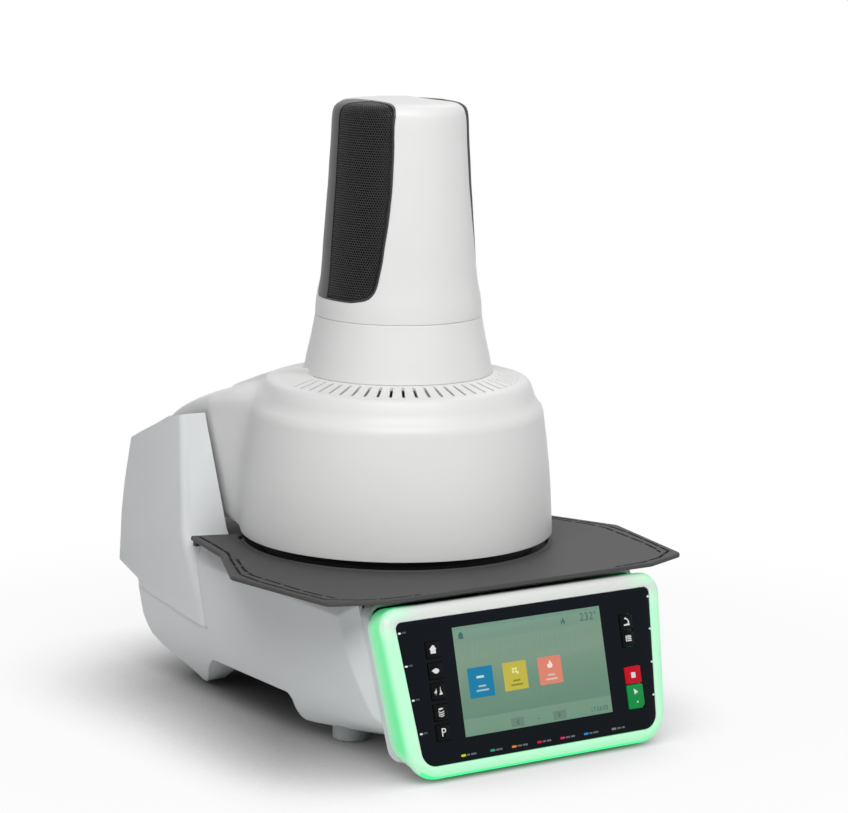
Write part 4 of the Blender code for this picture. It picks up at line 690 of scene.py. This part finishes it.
for left, right, top, low, colour, word_ink in (
        (-63.5, -39.5, 9.8, -14.6, (0.003, 0.165, 0.31), None),
        (-29.5, -6.5, 9.6, -13.2, (0.44, 0.38, 0.05), (0.2, 0.19, 0.02)),
        (4.8, 27.8, 9.4, -13, (0.6, 0.19, 0.13), None)):
    ink_tile(screen, left, right, low, top, 0.8, colour, 0.6, 0.05)
    pale = tuple(part * 0.45 + other * 0.55 for part, other in zip(colour, pale_ink))
    for line, share in ((-5.6, 0.15), (-9.0, 0.25)):
        ink_box(screen, (left + right) / 2 + 0.6, line, (right - left) * share, 0.7, word_ink or pale, 0.55)
ink_box(screen, -51.8, 1.8, 3.6, 0.9, (0.45, 0.6, 0.62), 0.55)
for step_u, step_v in ((-1.8, 2.9), (0.9, 2.9), (-1.8, 0.5), (0.9, 0.5), (2.6, -0.6)):
    ink_box(screen, -18.0 + step_u, step_v + 1.0, 1.0, 0.9, (0.66, 0.66, 0.3), 0.55)
ink_shape(screen, moved(flame[:8], 16.6, 3.2, 1.15), (0.72, 0.66, 0.56), 0.55)
small_house = ((-2.2, -2.8), (2.2, -2.8), (2.2, 0.4), (2.9, 0.4), (0, 3.2), (-2.9, 0.4), (-2.2, 0.4))
ink_shape(screen, moved(small_house, -65.2, 36.6), dark_ink, 0.6)
ink_shape(screen, moved(flame, 34.8, 35.8, 0.9, 0.95), dark_ink, 0.6)
ink_text(screen, '232°', 60.4, 36.4, 6.4, dark_ink, 0.6)
ink_text(screen, '17:56:02', 59.8, -39.4, 3.6, (0.05, 0.11, 0.1), 0.6)
arrow = ((1, 2), (-1.2, 0), (1, -2), (1.7, -1.4), (0.2, 0), (1.7, 1.4))
for u, flip in ((-21.6, 1), (19.9, -1)):
    ink_box(screen, u, -38.8, 6.2, 3.6, (0.115, 0.19, 0.145), 0.6, 0.03)
    ink_shape(screen, moved(arrow, u, -38.8, flip), dark_ink, 0.56)
ink_dot(screen, -0.8, -38.8, 0.6, dark_ink, 0.6)
screen_look = finish_material('screen_light', None, 0.25, height=0.0, edge=0.0, glow=0.72, specular=0.2)
settle(piece_from(screen, 'display_pane'), screen_look, 'base', 'screen', 'display_screen')

# Keys: nine moulded caps with eased edges that stand just proud of the glass, with printed signs.
house = [[(-2.5, -3), (2.5, -3), (2.5, 0.5), (3.5, 0.5), (1.8, 2.1), (1.8, 3.4), (1, 3.4), (1, 2.9), (0, 3.8),
          (-3.5, 0.5), (-2.5, 0.5)]]
dome = [[(-3.7, 0.3), (-2.4, 1.2), (0.1, 2.1), (2.4, 1.5), (3.4, 0.2), (2.9, -1.2), (1.2, -2.2), (-1, -2),
         (-2.1, -0.8)]]
bolt_and_flask = [[(-3.9, -1), (-2.9, 0.9), (-2.7, -0.1), (-1.7, 2.9), (-1.6, 0.4), (-0.9, 0.9), (-2.6, -3),
                   (-2.6, -1)],
                  [(0.8, -2.8), (3.9, -2.8), (3.7, -1.5), (3, -1), (2.8, 0.4), (2.5, 1), (2.4, 3.4), (2, 3.4),
                   (1.9, 1), (1.6, 0.4), (1.9, -1), (1, -1.5)]]
stack = [[(-2.5, 2.4), (-1.1, 3.4), (1.8, 3.5), (2.5, 2.9), (1, 2.1), (-1.4, 1.9)]] + [
    [(-2.3, low), (0.2, low - 1.1), (2.9, low - 0.1), (2.9, low + 0.6), (0.2, low - 0.3), (-2.3, low + 0.7)]
    for low in (0.5, -1.1, -2.6)]
arm = [[(-2.9, -3), (3.1, -3), (3.1, -1.8), (2.6, -1.8), (2.9, 0.1), (1.6, 2.3), (-0.9, 3.8), (-1.9, 3), (-1.2, 2.3),
        (-0.6, 2.5), (1.2, 1.1), (1.5, 0), (1.2, -1.2), (-0.4, -1.7), (-2.9, -1.8)]]
lines = [[(left, low), (right, low), (right, low + 1), (left, low + 1)]
         for low in (1.1, -0.4, -1.9) for left, right in ((-2.9, -1.5), (-1.1, 2.9))] + [
             [(-2.9, 2.4), (2.9, 2.4), (2.9, 2.9), (-2.9, 2.9)]]
square = [[(-2.2, -2.4), (2.2, -2.4), (2.2, 2.2), (-2.2, 2.2)]]
start_sign = [[(-1.6, 3.6), (-1.2, -1.4), (2.6, 0.6)]]
signs = (house, dome, bolt_and_flask, stack, [], arm, lines, square, start_sign)
key_slots = {'stop': ('key_red', (0.6, 0.008, 0.022)), 'start': ('key_green', (0.01, 0.3, 0.065))}
key_look = finish_material('key_ink', None, 0.35, height=0.0, edge=0.0003, specular=0.08)
for (name, u, v, half_u, half_v), sign in zip(key_places, signs):
    cap = new_print()
    slot, colour = key_slots.get(name, ('key_black', (0.0016, 0.0018, 0.0022)))
    layer = cap.verts.layers.float_color['ink']
    ease = 1.2
    radii = (4.2 if name == 'start' else ease, ease, ease, ease)
    levels = []
    for inset, depth in ((0, 6.2), (0, -0.3), (0.12, -0.6), (0.5, -0.8)):
        corners = box_corners(u, v, half_u - inset, half_v - inset)
        outline = rounded_outline([(a, b, radius - inset)
                                   for (a, b), radius in zip(corners[1:] + corners[:1], radii)], 5)
        levels.append([on_panel(a, b, depth) for a, b in outline])
    for ring in add_skin(cap, levels):
        for vert in ring:
            vert[layer] = (*colour, 1)
    shift = 3.0 if name == 'start' else 0.0
    for shape in sign:
        ink_shape(cap, moved(shape, u, v + shift), white_ink, -0.8, 0.05)
    if name == 'left_5':
        ink_text(cap, 'P', u + 0.2, v, 6.6, white_ink, -0.8, 0.05)
    if name == 'start':
        ink_dot(cap, u + 0.9, v - 4.6, 0.8, white_ink, -0.8, 0.05)
    settle(piece_from(cap, 'cap_' + name), key_look, 'key_' + name + '_cap', slot, 'key_' + name)

# Cooling tray: a black coated steel plate, hooked over the base and cut out round the head. Broken
# grooves run along its edge, and its edges are rolled over.
tray_corners = ((130.9, -189.9, 10.4), (175.3, -172.5, 10.4), (195, -55.6, 10.4), (162.2, 19.3, 10.4),
                (150.5, 92.4, 2), (107.9, 78.1, 0.01))


def tray_edge(inset):
    right = [(x - inset if x > 100 else x, y, max(radius - inset, 0.01)) for x, y, radius in tray_corners]
    centre = Vector((0, -40))
    return [point + (centre - point).normalized() * inset * 0.35 for point in mirrored_outline(right, 7)]


def turned_piece(name, profile, wrap=True):
    """A turned body about the head's axis, from radii and heights in millimetres."""
    turns = [tau * index / 192 for index in range(192)]      # 192 sides show round at any distance
    rings = [[(r * 0.001 * sin(a), axis_y - r * 0.001 * cos(a), z * 0.001) for a in turns] for r, z in profile]
    return skin(name, rings, wrap)


tray = flat_rings('tray', [(tray_edge(inset), z) for inset, z in (
    (0.4, 142.1), (0, 142.5), (0, 144.1), (0.2, 144.7), (0.6, 145.2), (1.3, 145.4))])
cut(tray, turned_piece('hole', [(130, 130), (130, 150)], wrap=False))
cut(tray, turned_piece('bead', [(129.7, 142.1), (132.6, 142.3), (132.5, 145.9), (132.0, 146.5), (131.0, 146.8),
                                (130.0, 146.4)]), 'UNION')
notch_turn = radians(-119.4)      # where the latch shows, round the axis from the front
notch = [Matrix.Rotation(notch_turn, 2) @ Vector((8.5 * cos(a), -131.5 + 3.8 * sin(a)))
         for a in np.arange(28) * tau / 28]
cut(tray, plate('notch', notch, 130, 150))


def groove(path, width):
    """A closed outline that follows a path at half the width on both sides, round at its ends."""
    path = [Vector(point) for point in path]
    left, right = [], []
    for index, point in enumerate(path):
        ahead = (path[min(index + 1, len(path) - 1)] - path[max(index - 1, 0)]).normalized()
        side = Vector((-ahead.y, ahead.x)) * width / 2
        left.append(point + side)
        right.append(point - side)
    first = (path[0] - path[1]).normalized() * width / 2
    last = (path[-1] - path[-2]).normalized() * width / 2
    return left + [path[-1] + last] + list(reversed(right)) + [path[0] + first]


def dashes(path, length, gap):
    """Pieces of a path, each of a length and a gap apart."""
    path = [Vector(point) for point in path]
    fine = [path[0]]
    for start, end in zip(path, path[1:]):
        count = max(1, round((end - start).length / 1.5))
        fine += [start.lerp(end, step / count) for step in range(1, count + 1)]
    per_dash, per_gap = round(length / 1.5), round(gap / 1.5)
    return [fine[index:index + per_dash + 1] for index in range(0, len(fine) - 3, per_dash + per_gap)]


outer_groove = ((-145, 86), (-150, 48), (-155, 19), (-167, -8), (-185, -54), (-184, -84), (-176, -133), (-170, -161),
                (-148, -177), (-126, -184), (-97, -186))
inner_groove = ((-160, -5), (-174, -41), (-178, -62), (-171, -124), (-166, -148), (-161, -161))
groove_floor = 142.8
for path, length, gap in ((outer_groove, 27, 3), (inner_groove, 21, 4.5)):
    for side in (1, -1):
        for dash in dashes([(x * side, y) for x, y in path], length, gap):
            cut(tray, plate('groove', groove(dash, 2.6), groove_floor, 150))
tray_coat = finish_material('tray_coat', (0.076, 0.076, 0.075), 0.55, grain=1600, height=0.00004, edge=0.0006,
                            shade=0.03, specular=0.12)
settle(tray, tray_coat, 'base', 'black_coat', 'cooling_tray')
seal_rubber = finish_material('seal_rubber', (0.015, 0.015, 0.015), 0.7)
dressed('seal_ring', 'seal', seal_rubber, 'base', 'seal_rubber')
ceramic = finish_material('pale_ceramic', (0.78, 0.74, 0.68), 0.8, grain=300, height=0.0001)
dressed('firing_table', 'table', ceramic, 'base', 'ceramic')

# Furnace head: one painted casting, a drum with a slotted crown and a broad arm back to the hinge.
# Its outer skin is found along rays from the head's axis, which leave the drum, the arm and the
# spine behind the tower where their smoothly joined skin is.
white_paint = finish_material('white_paint', (0.8, 0.8, 0.79), 0.36, grain=1300, height=0.00001, edge=0.0008,
                              shade=0.01, specular=0.3)
drum_profile = ((133.4, 153.6), (133.3, 158), (133.1, 162), (132.2, 179), (131.2, 197), (129.7, 214),
                (127.7, 231.5), (126.2, 243), (125, 251.5), (124.3, 257.5), (122.7, 262), (119.4, 265.9),
                (117, 270), (115.4, 274.7), (113.8, 279), (112.4, 282), (110.6, 283.9), (107.5, 284.8),
                (103, 285.2), (92, 288), (81, 291), (76, 292.2))
arm_reach = (-40, 13.1, 48.1, 75, 100, 130, 165, 190, 205, 213, 218.5)
arm_shape = (      # at each reach: half the width low and high, and the height of the edge, the crest and the underside
    (112, 112.4, 113.6, 108.5, 106.8, 106.5, 102.9, 101.1, 99.9, 99, 96),
    (112, 112.4, 114.3, 121.3, 127.7, 126.7, 120, 114, 110.1, 107.9, 103),
    (262, 269.2, 271.2, 269.5, 262.5, 254.6, 243.9, 234.5, 227.8, 221.5, 212),
    (270, 279.4, 284.6, 280.8, 275, 266.3, 250.8, 241, 232.4, 225.3, 215),
    (153.5, 153.5, 153.5, 153.5, 153.5, 153.5, 153.5, 154.2, 160.5, 171, 186))
spine_reach = (0, 10.9, 45.9, 89.6, 134.4, 143.1, 150)
spine_shape = ((79.2, 79.2, 80.4, 84.3, 84.3, 79, 70), (298.5, 297.4, 291.6, 281.1, 265.4, 260.7, 255))


def read_off(value, table, key=0, column=1):
    """A value between the rows of a table."""
    return np.interp(value, [row[key] for row in table], [row[column] for row in table])


def head_skin(x, y, z):
    """How far a point lies outside the drum, the arm and the spine joined by smooth fillets."""
    reach = np.hypot(x, y)
    crown = np.interp(reach, (0.0, 76.0, 103.0, 107.5, 110.6, 112.4), (292.2, 292.2, 285.2, 284.8, 283.9, 282.0))
    drum = np.maximum(reach - read_off(z, drum_profile, 1, 0), np.where(reach < 112.4, (z - crown) * 0.97, -1e3))
    low, high, edge_z, crest_z, under_z = (np.interp(y, arm_reach, column) for column in arm_shape)
    half = low + (high - low) * np.clip((z - 155) / (edge_z - 165), 0, 1.1)
    across = np.clip(np.abs(x) / half, 0, 1.2)
    top = edge_z + (crest_z - edge_z) * (1 - across ** 4)
    arm = soft_most(np.abs(x) - half, (z - top) * 0.95, 9.0)
    arm = soft_most(arm, y - arm_reach[-1], 9.0)
    arm = soft_most(arm, (under_z - z) * 0.9, 2.0)
    spine_half, spine_top = (np.interp(y, spine_reach, column) for column in spine_shape)
    spine = soft_most(np.abs(x) - spine_half, (z - spine_top) * 0.97, 5.0)
    spine = np.maximum(soft_most(spine, y - 146.0, 6.0), 8.0 - y)
    whole = soft_least(drum, np.maximum(arm, 8.0 - y), 9.0)
    return soft_least(whole, spine, 5.0)


def spread_points(points, step):
    """Points at about equal steps along a smooth line through the given ones."""
    points = [Vector(point) for point in points]
    line = []
    for index in range(len(points) - 1):
        before = points[max(index - 1, 0)]
        after = points[min(index + 2, len(points) - 1)]
        first, last = points[index], points[index + 1]
        count = max(1, round((last - first).length / step))
        for part in range(count):
            t = part / count
            line.append(0.5 * ((2 * first) + (last - before) * t + (2 * before - 5 * first + 4 * last - after) * t ** 2
                               + (3 * first - before - 3 * last + after) * t ** 3))
    line.append(points[-1])
    return line


around_count = 360      # rays round each level
head_rings = []
angles = np.arange(around_count) * tau / around_count
for radius, height in spread_points(drum_profile, 3.2):
    start = min(height, 200.0)      # rays leave the axis here, rising to the crown above it
    slope = (height - start) / radius
    near, far = np.full(around_count, radius * 0.5), np.full(around_count, 330.0)
    for halving in range(34):
        middle = (near + far) / 2
        inside_skin = head_skin(middle * np.sin(angles), -middle * np.cos(angles), start + slope * middle) < 0
        near = np.where(inside_skin, middle, near)
        far = np.where(inside_skin, far, middle)
    head_rings.append([(reach * sin(a), -reach * cos(a), start + slope * reach)
                       for reach, a in zip(near, angles)])
lining = ((127.7, 153.6), (127.7, 158.5), (121, 160), (118, 240), (108.5, 268), (104.5, 281.5),
          (80, 288.3), (66, 292))
lining_rings = [[(radius * sin(a), -radius * cos(a), height) for a in angles]
                for radius, height in reversed(lining)]
head_points = [[metres(*point) for point in ring] for ring in lining_rings + head_rings]
head_casting = skin('head_casting', head_points, wrap=True)

round_tree = bpy.data.node_groups.new('copies_round_the_axis', 'GeometryNodeTree')
round_tree.is_modifier = True
add_sockets(round_tree, 'INPUT', ('Geometry', 'Geometry'), ('Count', 'Int'), ('Start Angle', 'Float'),
            ('Step Angle', 'Float'), ('Axis', 'Vector'), ('Finish', 'Material'))
add_sockets(round_tree, 'OUTPUT', ('Geometry', 'Geometry'))
into, out, index, spin, copies, real, finish = (add_node(round_tree, kind) for kind in (
    'NodeGroupInput', 'NodeGroupOutput', 'GeometryNodeInputIndex', 'ShaderNodeCombineXYZ',
    'GeometryNodeInstanceOnPoints', 'GeometryNodeRealizeInstances', 'GeometryNodeSetMaterial'))
line = add_node(round_tree, 'GeometryNodeMeshLine', {'Offset': (0, 0, 0)})
angle = add_node(round_tree, 'ShaderNodeMath', operation='MULTIPLY_ADD')
wire(round_tree, (into, 'Count', line, 'Count'), (into, 'Axis', line, 'Start Location'), (index, 0, angle, 0),
     (into, 'Step Angle', angle, 1), (into, 'Start Angle', angle, 2), (angle, 0, spin, 'Z'),
     (line, 0, copies, 'Points'), (into, 'Geometry', copies, 'Instance'), (spin, 0, copies, 'Rotation'),
     (copies, 0, real, 0), (real, 0, finish, 'Geometry'), (into, 'Finish', finish, 'Material'), (finish, 0, out, 0))


def grown(piece, tree, values):
    """Run a node tree on a piece and keep the result as its plain mesh."""
    change = piece.modifiers.new('grow', 'NODES')
    change.node_group = tree
    for socket in tree.interface.items_tree:
        if socket.in_out == 'INPUT' and socket.name in values:
            change[socket.identifier] = values[socket.name]
    made = plain_mesh(piece)
    piece.modifiers.clear()
    piece.data = made
    return piece


slot_outline = groove([(0, -85.0), (0, -102.6)], 2.3)
slot_cutter = skin('slot_cutter', [[(x * 0.001, y * 0.001, z) for x, y in slot_outline] for z in (0.276, 0.3)])
grown(slot_cutter, round_tree, {'Count': 31, 'Start Angle': radians(-90), 'Step Angle': radians(6),
                                'Axis': (0, axis_y, 0), 'Finish': white_paint})
cut(head_casting, slot_cutter)
settle(head_casting, white_paint, 'head', 'white_cover', 'head_shell')

# Crown shade ring: a matt black ring under the crown, painted shade that shows dark through the slots.
painted_shade_ring = turned_piece('crown_shade_ring', [(104.0, 276.0), (104.0, 278.0), (80.5, 284.6), (80.5, 282.0)])
settle(painted_shade_ring, black_plastic, 'head', 'black_plastic')

# Inside of the head: the steel flange over the drum's mouth, the ceramic fibre ring and its cap round
# the quartz muffle, the thermocouple, and the press drive on its plate.
dress_solids('head', (dark_coat, 'dark_steel', 'head_flange'),
             (ceramic, 'ceramic', 'insulation insulation_cap thermocouple'), (steel, 'steel', 'motor_plate'),
             (dark_coat, 'dark_steel', 'press_motor'), (steel, 'steel', 'press_screw guide_rod_left guide_rod_right'))
quartz = finish_material('milky_quartz', (0.8, 0.8, 0.78), 0.15)
dressed('heating_muffle', 'muffle', quartz, 'head', 'quartz')
dressed('press_crosshead', 'crosshead', steel, 'press_ram', 'steel')
dressed('press_plunger', 'plunger', ceramic, 'press_ram', 'ceramic')

# Press tower: a turned skirt that is screwed to the crown, and a slim moulded cover above it with a
# window in each side that runs up over the shoulder. Both are painted white.
skirt_profile = ((81, 291.2), (80.6, 293), (79.4, 296), (77.9, 304), (76, 312), (74, 321), (72.3, 330), (71.1, 337.2),
                 (70.85, 338.9), (70.6, 339.5), (67, 339.5), (67.3, 335), (71, 321), (74.9, 304), (78, 291.2))
settle(turned_piece('skirt', skirt_profile), white_paint, 'head', 'white_cover', 'tower_skirt')
tower_line = [(70.75, 339.75), (70, 351), (67.5, 368), (66, 385), (65, 402), (63.7, 419), (62.5, 436), (61.2, 453),
              (60.3, 470), (59.2, 487), (58.5, 504), (58.1, 508.5), (57.5, 511.9), (56.2, 514.9), (54, 517.2),
              (51, 518.8), (47, 519.7), (41, 520.2), (28, 520.45), (0.02, 520.5)]
tower_curve = [(point.x, point.y) for point in spread_points([(r, z, 0) for r, z in tower_line], 4)]


def tower_wall(near, far):
    """A closed turned wall that follows the tower's outline, set in by near outside and far inside."""
    rows = []
    for index, point in enumerate(tower_curve):
        ahead = Vector(tower_curve[min(index + 1, len(tower_curve) - 1)]) - Vector(tower_curve[max(index - 1, 0)])
        rows.append((Vector(point), Vector((-ahead.y, ahead.x)).normalized()))
    outer, inner = ([(max((p + n * depth).x, 0.02), (p + n * depth).y) for p, n in rows] for depth in (near, far))
    return outer + inner[::-1]


window_edge = [(355.7, 25.6), (358.4, 37.8), (362.5, 42.4), (369, 44.6), (381, 45.8), (392, 46.7), (406, 47.3),
               (422, 47.9), (441, 48.1), (470, 47.6), (486, 47), (505, 46.4), (560, 46)]
window_crest = ((0, 24.3), (14, 25.4), (26, 27.6), (36, 30.6), (42.3, 32.3), (46.3, 34.3), (62, 34.6))


def window_block(side, shrink):
    """The space of a side window: its edge narrows downwards, and it ends in a curve over the shoulder."""
    edge = [(half - shrink, z + shrink) for z, half in window_edge]
    crest = [(side * (x + shrink), y) for y, x in window_crest]
    plan = [(side * 95, -62)] + [(x, -y) for x, y in reversed(crest)] + crest[1:] + [(side * 95, 62)]
    body = plate('window', plan, 340, 530)
    outline = spread_points([(half, z, 0) for half, z in edge], 3.0)
    outline = [(point.x, point.y) for point in outline]
    outline += [(-half, z) for half, z in reversed(outline)]
    return cut(body, across_block('window_front', outline, side * 0.5, side * 99), 'INTERSECT')


tower = turned_piece('tower', tower_wall(0, 2.6))
for side in (-1, 1):
    cut(tower, window_block(side, 0))
settle(tower, white_paint, 'head', 'white_cover', 'tower_shell')

# Side grilles: black moulded covers in the tower's windows, with a plain rim and a smooth rear part.
# The sunk part in front is drilled all over with fine staggered six-sided holes.
cell_tree = bpy.data.node_groups.new('drilled_cells', 'GeometryNodeTree')
cell_tree.is_modifier = True
add_sockets(cell_tree, 'INPUT', ('Geometry', 'Geometry'), ('Hole Share', 'Float'), ('Hole Depth', 'Float'),
            ('Finish', 'Material'))
add_sockets(cell_tree, 'OUTPUT', ('Geometry', 'Geometry'))
into, out, narrow, walls, real, finish = (add_node(cell_tree, kind) for kind in (
    'NodeGroupInput', 'NodeGroupOutput', 'GeometryNodeScaleElements', 'GeometryNodeExtrudeMesh',
    'GeometryNodeRealizeInstances', 'GeometryNodeSetMaterial'))
rims = add_node(cell_tree, 'GeometryNodeExtrudeMesh', {'Offset Scale': 0.0})
deeper = add_node(cell_tree, 'ShaderNodeMath', {1: -1.0}, operation='MULTIPLY')
wire(cell_tree, (into, 'Geometry', rims, 'Mesh'), (rims, 'Mesh', narrow, 'Geometry'),
     (rims, 'Top', narrow, 'Selection'), (into, 'Hole Share', narrow, 'Scale'), (narrow, 'Geometry', walls, 'Mesh'),
     (rims, 'Top', walls, 'Selection'), (into, 'Hole Depth', deeper, 0), (deeper, 0, walls, 'Offset Scale'),
     (walls, 'Mesh', real, 0), (real, 0, finish, 'Geometry'), (into, 'Finish', finish, 'Material'), (finish, 0, out, 0))

grille_black = finish_material('grille_black', (0.032, 0.032, 0.032), 0.42, grain=1500, height=0.00001, edge=0.0002,
                               shade=0.03, specular=0.4)
cell_pitch, row_pitch, cell_sink = 2.35, 2.035, 1.15
cell_turn = cell_pitch / 64.5      # round a tower of middling radius
walk = [0]
for (r_low, z_low), (r_high, z_high) in zip(tower_curve, tower_curve[1:]):
    walk.append(walk[-1] + hypot(r_high - r_low, z_high - z_low))


def on_tower(way, angle, side):
    """A point just under the tower's outline: a way up along it and an angle round it."""
    (r, z), (r_on, z_on), (r_back, z_back) = (
        [np.interp(place, walk, [point[part] for point in tower_curve]) for part in (0, 1)]
        for place in (way, way + 1.5, way - 1.5))
    ahead = Vector((r_on - r_back, z_on - z_back)).normalized()
    r, z = r - ahead.y * cell_sink, z + ahead.x * cell_sink
    return side * r * cos(angle), r * sin(angle), z


for side, name in ((-1, 'left'), (1, 'right')):
    cover = cut(turned_piece('side_grille_' + name, tower_wall(0.9, 4.6)), window_block(side, 0.2), 'INTERSECT')
    recess = cut(turned_piece('recess', tower_wall(-3, 3.8)), window_block(side, 1.7), 'INTERSECT')
    front_part = [(side * 20, -70), (side * 95, -70), (side * 95, 5.5), (side * 20, 5.5)]
    cut(recess, plate('front_part', front_part, 340, 530), 'INTERSECT')
    cut(cover, recess)
    corners, faces, found = [], [], {}
    for row in range(8, 104):
        for column in range(-32, 33):
            way, across = row * row_pitch, (column + 0.5 * (row % 2)) * cell_turn
            x, y, z = on_tower(way, across, side)
            half, crest = read_off(z, window_edge), read_off(abs(y), window_crest)
            if z < 358.6 or y < 2.9 - half or y > 4.0 or abs(x) < crest + 2.9:
                continue
            face = []
            for corner in range(6):
                turned = radians(30 + 60 * corner)
                angle = across + cell_turn / sqrt(3) * cos(turned)
                climb = way + row_pitch / 1.5 * sin(turned)
                key = (round(angle * 2e4), round(climb * 1e2))
                if key not in found:
                    found[key] = len(corners)
                    corners.append(metres(*on_tower(climb, angle, side)))
                face.append(found[key])
            faces.append(face if side > 0 else face[::-1])
    sheet_mesh = bpy.data.meshes.new('cells')
    sheet_mesh.from_pydata(corners, [], faces)
    sheet = placed('cells', sheet_mesh)
    grown(sheet, cell_tree, {'Hole Share': 0.8, 'Hole Depth': 0.0026, 'Finish': grille_black})
    whole = bmesh.new()
    whole.from_mesh(cover.data)
    whole.from_mesh(sheet.data)
    whole.to_mesh(cover.data)
    whole.free()
    bpy.data.objects.remove(sheet, do_unlink=True)
    smooth(cover.data)
    settle(cover, grille_black, 'head', 'black_plastic', 'grille_' + name)
